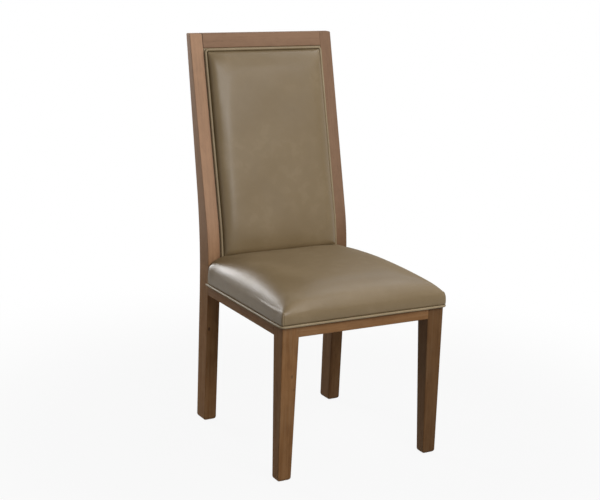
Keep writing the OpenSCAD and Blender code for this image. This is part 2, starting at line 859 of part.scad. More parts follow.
// One ring of the cushion's wall: a share of the way from hem to crown, bulged between
function wall_ring(off, share, under) = [
    for (p = seat_edge(off + (under > 0 ? 0 : seat_bulge * sin(150 * share)), under))
        let (
            low = at_back(p) ? board_top_h + skin_gap : hem_h,
            high = crown_h(p[0], p[1]) - under
        )
        [p[0], p[1], seat_z(p[1]) + low + (high - low) * share]
];

function top_ring(off, scale, under) = [
    for (p = seat_edge(off, under))
        let (x = p[0] * scale, y = seat_centre_y + (p[1] - seat_centre_y) * scale)
        [x, y, seat_z(y) + crown_h(x, y) - under]
];

function crown_pole(under) =
    [0, seat_centre_y, seat_z(seat_centre_y) + crown_h(0, seat_centre_y) - under];

// Leather seat cover: a shell with its crown, open underneath
module seat_cover() {
    inner_off = cover_off - leather_t;
    placed(leather) rings_between(
        crown_pole(0),
        concat(
            [for (i = [len(top_scales) - 1 : -1 : 0]) top_ring(cover_off, top_scales[i], 0)],
            [for (i = [len(wall_shares) - 1 : -1 : 0]) wall_ring(cover_off, wall_shares[i], 0)],
            [for (s = [0, 1]) wall_ring(inner_off, s, leather_t)],
            [for (s = inner_scales) top_ring(inner_off, s, leather_t)]
        ),
        crown_pole(leather_t)
    );
}

// Foam slab on the seat board, under the leather
module seat_foam() {
    off = cover_off - leather_t - skin_gap;
    under = leather_t + 2 * skin_gap;
    base = board_top_h + skin_gap / 2;
    placed(foam) rings_between(
        crown_pole(under),
        concat(
            [for (i = [len(inner_scales) - 1 : -1 : 0]) top_ring(off, inner_scales[i], under)],
            [wall_ring(off, 1, under)],
            [[for (p = seat_edge(off, under)) [p[0], p[1], seat_z(p[1]) + base]]]
        ),
        [0, seat_centre_y, seat_z(seat_centre_y) + base]
    );
}

// Piping under the hem of the seat cover, from post to post round the front
module seat_welt() {
    path = skirt_points(welt_off, skin_gap);
    placed(welt_leather) cord_along(
        [for (p = path) [p[0], p[1], seat_z(p[1]) + welt_h]], seat_welt_r, 10
    );
}

// The skirt path with tighter steps round its corners
function skirt_points(off, end_gap) =
    let (y1 = seat_run - end_gap, r = seat_corner_r + off, x0 = front_w / 2 + off)
    concat(
        [[-half_w(y1) - off, y1], [-half_w(leg_size) - off, leg_size]],
        [for (k = [0 : 6]) let (a = 180 + 15 * k) [-x0 + r + r * cos(a), -off + r + r * sin(a)]],
        [for (k = [0 : 6]) let (a = 270 + 15 * k) [x0 - r + r * cos(a), -off + r + r * sin(a)]],
        [[half_w(leg_size) + off, leg_size], [half_w(y1) + off, y1]]
    );

// Cloth under the seat board, its corners cut round the blocks
module dust_cover() {
    m = 2;
    f = front_block;
    b = rear_block;
    outline = [
        [-f[0][0] + m, f[0][1] + m], [f[0][0] - m, f[0][1] + m],
        [side_in(f[4][1] + m) - m, f[4][1] + 2 * m], [side_in(b[4][1] - m) - m, b[4][1] - 2 * m],
        [b[0][0] - m, b[0][1] - m], [-b[0][0] + m, b[0][1] - m],
        [-side_in(b[4][1] - m) + m, b[4][1] - 2 * m], [-side_in(f[4][1] + m) + m, f[4][1] + 2 * m]
    ];
    placed(cloth) seat_plate(outline, board_h - dust_t - skin_gap / 3, board_h - skin_gap / 3);
}

// A curved panel between two depths behind the front of the back frame
module front_panel(half_x, z0, z1, depth0, depth1) {
    zs = opening_zs(z0, z1, bend_steps);
    along_x(-half_x, half_x) polygon(concat(
        [for (z = zs) [post_front(z) + depth1, z]],
        [for (i = [len(zs) - 1 : -1 : 0]) [post_front(zs[i]) + depth0, zs[i]]]
    ));
}

module back_board() {
    placed(inner_wood) difference() {
        front_panel(
            open_x - skin_gap, pad_z0 + skin_gap, pad_z1 - skin_gap,
            back_board_set, back_board_set + back_board_t
        );
        for (side = [-1, 1]) on_side(side)
            for (z = pad_screw_zs)
                at_pad_screw(z)
                    cylinder(h = pad_screw_l(z) + tenon_end_gap / 2, r = screw_d / 2 + screw_gap);
    }
}

// Outline of the pad, with more points at its corners, counter-clockwise seen from the front
pad_width_steps = 9;
pad_height_steps = 14;
function round_frame(hx, hz, r, nx, nz) = concat(
    corner_arc([-hx, -hz], [1, 1], r, 180),
    [for (k = [1 : nx - 1]) [(-1 + 2 * k / nx) * (hx - r), -hz]],
    corner_arc([hx, -hz], [-1, 1], r, 270),
    [for (k = [1 : nz - 1]) [hx, (-1 + 2 * k / nz) * (hz - r)]],
    corner_arc([hx, hz], [-1, -1], r, 0),
    [for (k = [1 : nx - 1]) [(1 - 2 * k / nx) * (hx - r), hz]],
    corner_arc([-hx, hz], [1, -1], r, 90),
    [for (k = [1 : nz - 1]) [-hx, (1 - 2 * k / nz) * (hz - r)]]
);

function pad_edge(inset) = round_frame(
    pad_half_x - inset, pad_half_z - inset, pad_corner_r - inset, pad_width_steps, pad_height_steps
);

// One ring of the pad: its outline scaled and set at a depth, on the bend of the back frame
function pad_ring(inset, scale, share, under) = [
    for (p = pad_edge(inset))
        let (
            x = p[0] * scale,
            z = pad_mid_z + p[1] * scale,
            foot = back_board_set - 3 * skin_gap,
            face = pad_depth(x, z) + under
        )
        [x, post_front(z) + foot + (face - foot) * share, z]
];

function pad_pole(under) = [0, post_front(pad_mid_z) + pad_depth(0, pad_mid_z) + under, pad_mid_z];

// Leather cover of the back pad: a crowned shell that stands on the edge of its plywood
module back_cover() {
    placed(leather) rings_between(
        pad_pole(0),
        concat(
            [for (i = [len(top_scales) - 1 : -1 : 0]) pad_ring(0, top_scales[i], 1, 0)],
            [for (s = [1, 0.5, 0]) pad_ring(0, 1, s, 0)],
            [for (s = [0, 1]) pad_ring(leather_t, 1, s, leather_t)],
            [for (s = inner_scales) pad_ring(leather_t, s, 1, leather_t)]
        ),
        pad_pole(leather_t)
    );
}

module back_foam() {
    inset = leather_t + skin_gap;
    under = leather_t + 2 * skin_gap;
    placed(foam) rings_between(
        pad_pole(under),
        concat(
            [for (i = [len(inner_scales) - 1 : -1 : 0]) pad_ring(inset, inner_scales[i], 1, under)],
            [for (s = [1, 0]) pad_ring(inset, 1, s, under)],
            [for (i = [0 : len(inner_scales) - 1]) pad_ring(inset, inner_scales[i], 0, under)]
        ),
        [0, post_front(pad_mid_z) + back_board_set - 3 * skin_gap, pad_mid_z]
    );
}

// Piping in the corner between the pad and the frame
module back_welt() {
    c = back_welt_r + skin_gap;
    hx = open_x - c;
    hz = (pad_z1 - pad_z0) / 2 - c;
    path = [
        for (p = round_frame(hx, hz, pad_corner_r + back_welt_r, 2, 16))
            let (z = pad_mid_z + p[1])
            [p[0], post_front(z) + back_board_set - c, z]
    ];
    placed(welt_leather) cord_loop(path, back_welt_r, 8, [0, 1, 0]);
}

// The outside back: hardboard, leather and piping between the rear faces of the posts
outside_half_z = (top_rail_z - pad_z0) / 2;
outside_inset = 2 * outside_welt_r + 3 * skin_gap;
outside_foot = outside_set + leather_t + outside_rise;

module outside_board() {
    zs = opening_zs(pad_z0 + skin_gap, top_rail_z - skin_gap, bend_steps);
    placed(inner_wood) along_x(skin_gap - open_x, open_x - skin_gap) polygon(concat(
        [for (z = zs) [post_rear(z) - outside_foot, z]],
        [for (i = [len(zs) - 1 : -1 : 0]) [post_rear(zs[i]) - outside_foot - outside_board_t, zs[i]]]
    ));
}

// One ring of the outside leather, at a height above the hardboard
function outside_ring(scale, lift) = [
    for (p = round_frame(
        open_x - outside_inset, outside_half_z - outside_inset, pad_corner_r, pad_width_steps,
        pad_height_steps
    ))
        let (x = -p[0] * scale, z = pad_mid_z + p[1] * scale)
        [x, post_rear(z) - outside_foot + lift, z]
];

module outside_cover() {
    top = leather_t + skin_gap;
    placed(leather) rings_between(
        [0, post_rear(pad_mid_z) - outside_foot + top + outside_rise, pad_mid_z],
        [
            outside_ring(0.45, top + outside_rise * 0.95),
            outside_ring(0.8, top + outside_rise * 0.7),
            outside_ring(0.94, top + outside_rise * 0.35),
            outside_ring(1, top),
            outside_ring(1, skin_gap),
            outside_ring(0.94, skin_gap),
            outside_ring(0.8, skin_gap),
            outside_ring(0.45, skin_gap)
        ],
        [0, post_rear(pad_mid_z) - outside_foot + skin_gap, pad_mid_z]
    );
}

module outside_welt() {
    c = outside_welt_r + skin_gap;
    path = [
        for (p = round_frame(open_x - c, outside_half_z - c, pad_corner_r + outside_welt_r, 2, 16))
            let (z = pad_mid_z + p[1])
            [-p[0], post_rear(z) - outside_foot + c, z]
    ];
    placed(welt_leather) cord_loop(path, outside_welt_r, 8, [0, -1, 0]);
}

// Middles of the feet, on the right
front_foot = [
    front_w / 2 - (leg_size - leg_taper_in) / 2,
    (leg_size - leg_taper_back) / 2
];
rear_foot = [rear_w / 2 - post_w / 2, (post_front(0) + post_rear(0)) / 2];

module at_glide(foot) {
    translate([foot[0], foot[1], 0]) children();
}

// The nail of a glide, or its hole when it has a gap
module glide_nail(gap, end_gap) {
    cylinder(h = glide_h + glide_nail_l + end_gap, r = glide_nail_d / 2 + gap);
}

// Nail-on glide: a turned pad with a rounded rim, flush under the foot
module glide(foot, side) {
    rim = min(1, glide_h / 2);
    r = glide_d / 2;
    placed([0.30, 0.28, 0.26]) on_side(side) at_glide(foot) {
        rotate_extrude() polygon(concat(
            [[0, 0]],
            [for (k = [0 : ease_steps])
                let (a = 270 + 90 * k / ease_steps)
                [r - rim + rim * cos(a), rim + rim * sin(a)]],
            [[r, glide_h], [0, glide_h]]
        ));
        glide_nail(0, 0);
    }
}

rear_post(-1);  // rear_post_left
rear_post(1);  // rear_post_right
front_leg(-1);  // front_leg_left
front_leg(1);  // front_leg_right
front_apron();
rear_apron();
side_apron(-1);  // side_apron_left
side_apron(1);  // side_apron_right
top_rail();
lower_back_rail();
back_batten(-1);  // back_batten_left
back_batten(1);  // back_batten_right
corner_block(front_block, -1);  // corner_block_front_left
corner_block(front_block, 1);  // corner_block_front_right
corner_block(rear_block, -1);  // corner_block_rear_left
corner_block(rear_block, 1);  // corner_block_rear_right
block_screws();
seat_screws();
batten_screws();
pad_screws();
seat_board();
seat_foam();
seat_wadding();
seat_tack_strip();
seat_cover();
seat_welt();
dust_cover();
back_board();
back_foam();
back_cover();
back_welt();
outside_board();
outside_cover();
outside_welt();
glide(front_foot, -1);  // glide_front_left
glide(front_foot, 1);  // glide_front_right
glide(rear_foot, -1);  // glide_rear_left
glide(rear_foot, 1);  // glide_rear_right
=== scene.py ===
"""Dining chair with a tall leather back: dresses its frame and lights it for the photo's view.

Lengths are metres and angles are radians unless a name says otherwise. The chair faces -Y.
A place in the chair's own terms is (x, y, z) with y counted back from the front faces of the
front legs; ChairSize.place() moves such points into the shared frame.
"""

from __future__ import annotations

import json
import logging
import math
from collections.abc import Callable, Iterable, Mapping, Sequence
from dataclasses import dataclass, field
from enum import Enum

import bmesh
import bpy
import numpy as np
from mathutils import Matrix, Vector

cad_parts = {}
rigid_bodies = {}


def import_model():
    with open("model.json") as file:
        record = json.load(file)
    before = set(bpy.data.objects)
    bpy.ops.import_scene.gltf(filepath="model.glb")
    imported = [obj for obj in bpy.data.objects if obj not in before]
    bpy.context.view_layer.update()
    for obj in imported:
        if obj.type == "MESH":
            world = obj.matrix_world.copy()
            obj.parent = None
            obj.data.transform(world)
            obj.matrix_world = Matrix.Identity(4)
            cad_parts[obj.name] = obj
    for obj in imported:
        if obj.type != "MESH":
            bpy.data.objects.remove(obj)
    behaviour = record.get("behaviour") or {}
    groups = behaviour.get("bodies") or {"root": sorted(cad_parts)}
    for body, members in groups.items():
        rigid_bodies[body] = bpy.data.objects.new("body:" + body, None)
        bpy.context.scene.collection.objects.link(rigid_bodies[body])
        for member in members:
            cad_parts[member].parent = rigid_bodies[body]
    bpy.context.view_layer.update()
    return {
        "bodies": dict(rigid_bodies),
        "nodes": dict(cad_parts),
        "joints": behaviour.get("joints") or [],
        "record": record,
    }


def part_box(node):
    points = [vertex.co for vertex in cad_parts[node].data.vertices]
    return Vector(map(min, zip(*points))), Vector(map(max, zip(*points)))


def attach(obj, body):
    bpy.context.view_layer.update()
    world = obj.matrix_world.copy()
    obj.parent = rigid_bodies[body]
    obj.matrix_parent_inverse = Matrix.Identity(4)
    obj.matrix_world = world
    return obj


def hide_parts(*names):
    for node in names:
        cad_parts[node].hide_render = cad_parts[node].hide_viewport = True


log = logging.getLogger("chair")

Triple = tuple[float, float, float]
Span = tuple[float, float]
Colour = Triple
BODY = "root"
MM = 0.001
TINY = 1e-9
SAME_POINT = 0.00002
EDGE_TURN = (0.004, 0.16)
BEVEL_SAMPLES = 6


def srgb(red: int, green: int, blue: int) -> Colour:
    """Turns 8-bit display values into linear light.

    Args:
        red: Red, 0 to 255.
        green: Green, 0 to 255.
        blue: Blue, 0 to 255.

    Returns:
        The linear colour.
    """

    def linear(value: int) -> float:
        """Undoes the display curve of one value."""
        v = value / 255
        return v / 12.92 if v <= 0.04045 else ((v + 0.055) / 1.055) ** 2.4

    return linear(red), linear(green), linear(blue)


def smooth_step(values: np.ndarray | float, low: float, high: float) -> np.ndarray:
    """Eases from 0 at low to 1 at high.

    Args:
        values: Numbers to ease.
        low: Where the result leaves 0.
        high: Where the result reaches 1; below low for a falling step.

    Returns:
        The eased numbers.
    """
    t = np.clip((np.asarray(values, float) - low) / (high - low), 0.0, 1.0)
    return t * t * (3 - 2 * t)


# Shader graphs


class Signal:
    """One output of a shader graph, with arithmetic on it."""

    def __init__(self, graph: Graph, port: bpy.types.NodeSocket) -> None:
        """Wraps an output.

        Args:
            graph: The graph that the output is in.
            port: The output.
        """
        self.graph = graph
        self.port = port

    def _join(self, operation: str, *operands: Value) -> Signal:
        """Adds a Math node, or a Vector Math node where an operand is a vector.

        Args:
            operation: The node's operation.
            *operands: What goes into its inputs, in order.

        Returns:
            The result.
        """
        wide = any(
            isinstance(o, tuple) or (isinstance(o, Signal) and o.port.type != "VALUE")
            for o in operands
        )
        kind = "ShaderNodeVectorMath" if wide else "ShaderNodeMath"
        return self.graph.add(kind, {"operation": operation}, dict(enumerate(operands)))

    def __add__(self, other: Value) -> Signal:
        """Returns the sum with other."""
        return self._join("ADD", self, other)

    def __radd__(self, other: Value) -> Signal:
        """Returns the sum of other and this."""
        return self._join("ADD", other, self)

    def __sub__(self, other: Value) -> Signal:
        """Returns this less other."""
        return self._join("SUBTRACT", self, other)

    def __rsub__(self, other: Value) -> Signal:
        """Returns other less this."""
        return self._join("SUBTRACT", other, self)

    def __mul__(self, other: Value) -> Signal:
        """Returns the product with other."""
        return self._join("MULTIPLY", self, other)

    def __rmul__(self, other: Value) -> Signal:
        """Returns the product of other and this."""
        return self._join("MULTIPLY", other, self)

    def __pow__(self, power: float) -> Signal:
        """Returns this raised to a power."""
        return self._join("POWER", self, power)

    def __abs__(self) -> Signal:
        """Returns this without its sign."""
        return self._join("ABSOLUTE", self)

    def upper(self, other: Value) -> Signal:
        """Returns the larger of this and other."""
        return self._join("MAXIMUM", self, other)

    def dot(self, other: Value) -> Signal:
        """Returns the dot product with other, a vector."""
        return self._join("DOT_PRODUCT", self, other)

    def length(self) -> Signal:
        """Returns the length of this vector."""
        return self._join("LENGTH", self)

    def ramp(self, low: float, high: float) -> Signal:
        """Eases this number from 0 at low to 1 at high, which may lie below low."""
        sockets = {"Value": self, "From Min": low, "From Max": high}
        return self.graph.add("ShaderNodeMapRange", {"interpolation_type": "SMOOTHSTEP"}, sockets)

    def split(self) -> tuple[Signal, Signal, Signal]:
        """Returns the three parts of this vector."""
        node = self.graph.add("ShaderNodeSeparateXYZ", {}, {"Vector": self}).port.node
        return tuple(Signal(self.graph, port) for port in node.outputs)

    def mix(self, other: Value, share: Value) -> Signal:
        """Blends this colour towards another.

        Args:
            other: The other colour.
            share: 0 keeps this colour and 1 gives the other.

        Returns:
            The blend.
        """
        sockets = {"Factor": share, "A": self, "B": other}
        return self.graph.add("ShaderNodeMix", {"data_type": "RGBA"}, sockets)


Value = Signal | float | Triple


class Graph:
    """The node tree of one material."""

    def __init__(self, name: str) -> None:
        """Starts an empty material.

        Args:
            name: The material's name.
        """
        self.material = bpy.data.materials.new(name)
        self.material.use_nodes = True
        self.tree = self.material.node_tree
        self.tree.nodes.clear()

    @classmethod
    def of_tree(cls, tree: bpy.types.NodeTree) -> Graph:
        """Starts an empty graph in a tree that isn't a material's.

        Args:
            tree: The tree, which loses its nodes.

        Returns:
            The graph.
        """
        graph = cls.__new__(cls)
        graph.tree = tree
        tree.nodes.clear()
        return graph

    def add(
        self,
        kind: str,
        settings: Mapping[str, object] | None = None,
        sockets: Mapping[str | int, Value] | None = None,
        output: str | None = None,
    ) -> Signal:
        """Adds one node.

        Args:
            kind: The node's type.
            settings: Its own properties, set first.
            sockets: What goes into its inputs, by name or place.
            output: The name of the output to return; the first one in use if left out.

        Returns:
            The chosen output.
        """
        node = self.tree.nodes.new(kind)
        for name, value in (settings or {}).items():
            setattr(node, name, value)
        for key, value in (sockets or {}).items():
            self._feed(self._port(node.inputs, key), value)
        if output:
            return Signal(self, self._port(node.outputs, output))
        return Signal(self, next(p for p in node.outputs if p.enabled))

    @staticmethod
    def _port(ports: Iterable[bpy.types.NodeSocket], key: str | int) -> bpy.types.NodeSocket:
        """Finds a socket by its place, or the first one in use by its name.

        Args:
            ports: The node's inputs or outputs.
            key: The socket's place or name.

        Returns:
            The socket.
        """
        if isinstance(key, int):
            return ports[key]
        return next(p for p in ports if p.enabled and p.name == key)

    def _feed(self, port: bpy.types.NodeSocket, value: Value) -> None:
        """Links a signal to an input, or sets it to a constant.

        Args:
            port: The input.
            value: The signal or the constant.
        """
        if isinstance(value, Signal):
            self.tree.links.new(value.port, port)
            return
        size = len(port.default_value) if hasattr(port.default_value, "__len__") else 0
        if size and not isinstance(value, tuple):
            value = (value,) * 3
        port.default_value = (*value, 1.0) if size == 4 and len(value) == 3 else value

    def place(self) -> Signal:
        """Returns the place on the object, in the shared frame."""
        return self.add("ShaderNodeTexCoord", output="Object")

    def vector(self, x: Value, y: Value, z: Value) -> Signal:
        """Joins three numbers into a vector."""
        return self.add("ShaderNodeCombineXYZ", {}, {"X": x, "Y": y, "Z": z})

    def noise(self, at: Signal, scale: float, detail: float = 2, warp: float = 0) -> Signal:
        """Adds cloudy noise.

        Args:
            at: Where to read it.
            scale: Features for each unit of at.
            detail: Octaves beyond the first.
            warp: How far the noise bends itself.

        Returns:
            A number round 0.5.
        """
        sockets = {"Vector": at, "Scale": scale, "Detail": detail, "Distortion": warp}
        return self.add("ShaderNodeTexNoise", {}, sockets)

    def edge(self, radius: float) -> Signal:
        """Tells how near the surface is to a sharp outer edge.

        Args:
            radius: How far from the edge it reaches, in metres.

        Returns:
            A number from 0 away from edges to about 1 on them.
        """
        true = self.add("ShaderNodeNewGeometry", output="Normal")
        round_normal = self.add("ShaderNodeBevel", {"samples": BEVEL_SAMPLES}, {"Radius": radius})
        return (1 - true.dot(round_normal)).ramp(*EDGE_TURN)

    def bump(self, height: Signal, depth: float, strength: float) -> Signal:
        """Turns a height into a normal.

        Args:
            height: The height, as a share of depth.
            depth: The full height, in metres.
            strength: Strength of the effect, 0 to 1.

        Returns:
            The normal.
        """
        sockets = {"Height": height, "Distance": depth, "Strength": strength}
        return self.add("ShaderNodeBump", {}, sockets)

    def finish(self, **sockets: Value) -> bpy.types.Material:
        """Ends the graph in a Principled shader.

        Args:
            **sockets: Its inputs, with underscores for spaces.

        Returns:
            The finished material.
        """
        named = {key.replace("_", " "): value for key, value in sockets.items()}
        shader = self.add("ShaderNodeBsdfPrincipled", {}, named)
        self.add_output(shader)
        return self.material

    def add_output(self, shader: Signal, kind: str = "Material") -> None:
        """Links a shader to the output of a Material or World."""
        node = self.tree.nodes.new(f"ShaderNodeOutput{kind}")
        self.tree.links.new(shader.port, node.inputs["Surface"])


class Grain(Enum):
    """The axis that a piece of wood's grain runs along."""

    ACROSS = 0
    DEEP = 1
    UPRIGHT = 2

    def stretch(self, fine: float, long: float) -> Triple:
        """Scales for a noise that is fine across the grain and long along it."""
        return tuple(long if axis == self.value else fine for axis in range(3))


@dataclass(frozen=True)
class Knot:
    """A small knot in the face of a member."""

    at: Triple
    radius: float
    depth: float = 1.0


@dataclass(frozen=True)
class Joint:
    """An upright joint line that has opened a hair's breadth, the shade in its gap painted as a
    dark line.
    """

    across: float
    above: float
    width: float = 0.0013


@dataclass(frozen=True)
class BoardAndLightTone:
    """Where the wood steps darker or lighter past a plane: partly one board's tone against
    another's, partly painted light and shade across the chair.
    """

    axis: int
    beyond: float
    tone: float


@dataclass(frozen=True)
class WoodFinish:
    """Stained wood with a weathered, semi-matte surface."""

    name: str
    grain: Grain
    dark: Colour = srgb(113, 77, 45)
    mid: Colour = srgb(133, 95, 59)
    light: Colour = srgb(146, 108, 72)
    weathered: Colour = srgb(135, 110, 82)
    # Paler tone of the eased edges: rubbed wear with a painted highlight.
    edge_wear_and_highlight: Colour = srgb(149, 124, 96)
    # Painted sheen: a paler tone that the wood is blended towards between two heights, by a share.
    painted_sheen_tone: Colour = srgb(180, 144, 117)
    ageing: float = 0.30
    painted_sheen_span: Triple = (0.36, 0.62, 0.78)
    knot_tone: Colour = srgb(38, 24, 16)
    # Painted shadow in the joint's gap.
    joint_shadow_tone: Colour = srgb(58, 40, 28)
    roughness: float = 0.56
    gloss: float = 0.12
    edge_mm: float = 2.6
    relief_mm: float = 0.18
    bend_from: float = 0.06
    # Steps in tone, partly painted light and shade.
    boards: tuple[BoardAndLightTone, ...] = ()
    knots: tuple[Knot, ...] = ()
    joints: tuple[Joint, ...] = ()

    def build(self, size: ChairSize) -> bpy.types.Material:
        """Makes the material.

        Args:
            size: The chair's sizes, for the bend that the posts' grain follows.

        Returns:
            The material.
        """
        graph = Graph(self.name)
        place = graph.place()
        x, y, z = place.split()
        tone: Value = 1.0
        # Painted light and shade: whole members are made darker or lighter by where they stand.
        for board in self.boards:
            beyond = (x, y, z)[board.axis].ramp(board.beyond - MM, board.beyond + MM)
            tone = tone * (1 + beyond * (board.tone - 1))
        if self.grain is Grain.UPRIGHT:
            above = z - (size.joint_top + self.bend_from)
            y = y - (above + (above * above + 0.004) ** 0.5) * (math.tan(size.rake) / 2)
        grain = graph.vector(x, y, z)
        knots: Signal | None = None
        swirl: Signal | None = None
        for knot in self.knots:
            away = (place - knot.at) * self.grain.stretch(1.0, 0.62)
            distance = away.length()
            pull = away * distance.ramp(knot.radius * 5, 0.0) * 0.8
            core = distance.ramp(knot.radius * 1.15, knot.radius * 0.55) * knot.depth
            swirl = pull if swirl is None else swirl + pull
            knots = core if knots is None else knots.upper(core)
        if swirl is not None:
            grain = grain - swirl

        figure = graph.noise(grain * self.grain.stretch(38, 2.2), 1, 4, 0.6).ramp(0.30, 0.70)
        streak = graph.noise(grain * self.grain.stretch(190, 5.5), 1, 3, 0.2).ramp(0.30, 0.70)
        fibre = graph.noise(grain * self.grain.stretch(1100, 24), 1, 2)
        pores = graph.noise(grain * self.grain.stretch(1700, 55), 1, 1).ramp(0.62, 0.72)
        cloud = graph.noise(place, 8, 3).ramp(0.32, 0.68)
        blotch = graph.noise(place * self.grain.stretch(60, 26), 1, 2).ramp(0.34, 0.66)

        depth = figure * 0.38 + streak * 0.24 + fibre.ramp(0.3, 0.7) * 0.16 + blotch * 0.22
        shade = graph.vector(*self.dark).mix(self.mid, depth.ramp(0.05, 0.55))
        shade = shade.mix(self.light, depth.ramp(0.45, 0.95) * 0.85)
        shade = shade.mix(self.weathered, cloud * streak.ramp(0.1, 0.9) * self.ageing)
        # Painted sheen: the wood turns paler with height, standing in for the brighter light on the
        # upper members.
        low, high, most = self.painted_sheen_span
        pale = graph.vector(*self.painted_sheen_tone) * (0.90 + depth * 0.22)
        shade = shade.mix(pale, z.ramp(low, high) * most)
        flecks = graph.add(
            "ShaderNodeTexVoronoi",
            {"feature": "F1"},
            {"Vector": grain * self.grain.stretch(62, 20), "Scale": 1.0, "Randomness": 1.0},
        )
        pick = graph.noise(grain * self.grain.stretch(31, 10), 1, 0).ramp(0.60, 0.68)
        marks = flecks.ramp(0.12, 0.03) * pick
        shade = shade * tone * (1 - (pores * 0.22).upper(marks * 0.5))
        if knots is not None:
            shade = shade.mix(self.knot_tone, knots * 0.9)
            marks = marks.upper(knots)
        # Painted shadow: a thin dark line down the joint, where the gap's shade would fall.
        for joint in self.joints:
            line = abs(x - joint.across).ramp(joint.width, joint.width * 0.4)
            line = line * z.ramp(joint.above, joint.above + 2 * MM)
            shade = shade.mix(self.joint_shadow_tone, line * 0.85)
        # Rubbed wear with a painted highlight: the eased edges are blended towards a paler tone.
        edge_wear_and_highlight = graph.edge(self.edge_mm * MM)
        shade = shade.mix(self.edge_wear_and_highlight, edge_wear_and_highlight * (0.16 + cloud * 0.14))

        height = fibre * 0.35 - pores * 0.8 - marks * 1.2 + streak * 0.2
        return graph.finish(
            Base_Color=shade,
            Roughness=self.roughness + fibre * 0.12 + pores * 0.1 - edge_wear_and_highlight * 0.08,
            IOR=1.5,
            Specular_IOR_Level=self.gloss,
            Normal=graph.bump(height, self.relief_mm * MM, 0.45),
        )


@dataclass(frozen=True)
class LeatherFinish:
    """Smooth upholstery leather with a soft gloss."""

    name: str
    base: Colour = srgb(130, 111, 81)
    deep: Colour = srgb(124, 105, 75)
    pale: Colour = srgb(138, 120, 91)
    pebble_mm: float = 1.3
    roughness: float = 0.32
    grazing: Triple = (0.56, 0.80, 0.32)
    gloss: float = 0.36
    crease: float = 0.25
    edge_mm: float = 5.0
    relief_mm: float = 0.10
    jitter: Triple = (0.0011, 0.0011, 0.0011)

    def build(self) -> bpy.types.Material:
        """Makes the material.

        Returns:
            The material.
        """
        graph = Graph(self.name)
        place = graph.place()
        cells = graph.add(
            "ShaderNodeTexVoronoi",
            {"feature": "DISTANCE_TO_EDGE"},
            {
                "Vector": place + graph.noise(place, 300, 1) * self.jitter,
                "Scale": 1 / (self.pebble_mm * MM),
            },
        )
        pebble = cells.ramp(0.0, 0.16)
        fine = graph.noise(place, 2600, 2)
        cloud = graph.noise(place, 7, 4, 0.3).ramp(0.32, 0.68)
        patch = graph.noise(place, 34, 3).ramp(0.32, 0.68)
        fold = abs(graph.noise(place * (30, 55, 40), 1, 3, 1.6) - 0.5).ramp(0.016, 0.0)
        creases = fold * graph.noise(place, 12, 1).ramp(0.52, 0.66) * self.crease

        shade = graph.vector(*self.deep).mix(self.base, cloud * 0.7 + patch * 0.3)
        shade = shade.mix(self.pale, (cloud * patch).ramp(0.35, 1.0) * 0.35)
        # Painted shade: the colour is darkened in the creases and in the hollows between the
        # grain's pebbles.
        shade = shade * (1 - creases * 0.10 - (1 - pebble) * 0.05)
        # Rubbed wear with a painted highlight: the sharp edges are blended towards the paler
        # leather.
        edge_wear_and_highlight = graph.edge(self.edge_mm * MM)
        shade = shade.mix(self.pale, edge_wear_and_highlight * 0.3)

        height = pebble * 0.6 + fine * 0.4 - creases * 1.5 + patch * 0.5
        facing = graph.add("ShaderNodeLayerWeight", sockets={"Blend": 0.5}, output="Facing")
        low, high, most = self.grazing
        rough = self.roughness + facing.ramp(low, high) * most
        return graph.finish(
            Base_Color=shade,
            Roughness=rough + (cloud - 0.5) * 0.06 + (1 - pebble) * 0.10 + creases * 0.05,
            IOR=1.5,
            Specular_IOR_Level=self.gloss,
            Normal=graph.bump(height, self.relief_mm * MM, 0.5),
        )


@dataclass(frozen=True)
class PlainFinish:
    """A moulded, rolled or woven surface told apart by its tone, gloss and texture."""

    name: str
    tone: Colour
    other: Colour
    scale: Triple
    roughness: float
    metallic: float = 0.0
    relief_mm: float = 0.05

    def build(self) -> bpy.types.Material:
        """Makes the material.

        Returns:
            The material.
        """
        graph = Graph(self.name)
        place = graph.place()
        weave = graph.noise(place * self.scale, 1, 3)
        cloud = graph.noise(place, 22, 3).ramp(0.3, 0.7)
        shade = graph.vector(*self.tone).mix(self.other, weave.ramp(0.3, 0.7) * 0.6 + cloud * 0.4)
        return graph.finish(
            Base_Color=shade,
            Metallic=self.metallic,
            Roughness=self.roughness + (cloud - 0.5) * 0.12,
            Normal=graph.bump(weave, self.relief_mm * MM, 0.6),
        )


# Sizes


def bend(rise: np.ndarray | float, radius: float, angle: float) -> np.ndarray:
    """How far a face has moved back after a bend into a straight lean.

    Args:
        rise: Height above the start of the bend.
        radius: Radius of the bend.
        angle: Lean of the straight that follows.

    Returns:
        The distance moved back; 0 below the bend.
    """
    rise = np.asarray(rise, float)
    end = radius * math.sin(angle)
    arc = np.clip(rise, 0, end)
    curved = radius - np.sqrt(radius**2 - arc**2)
    return curved + np.clip(rise - end, 0, None) * math.tan(angle)


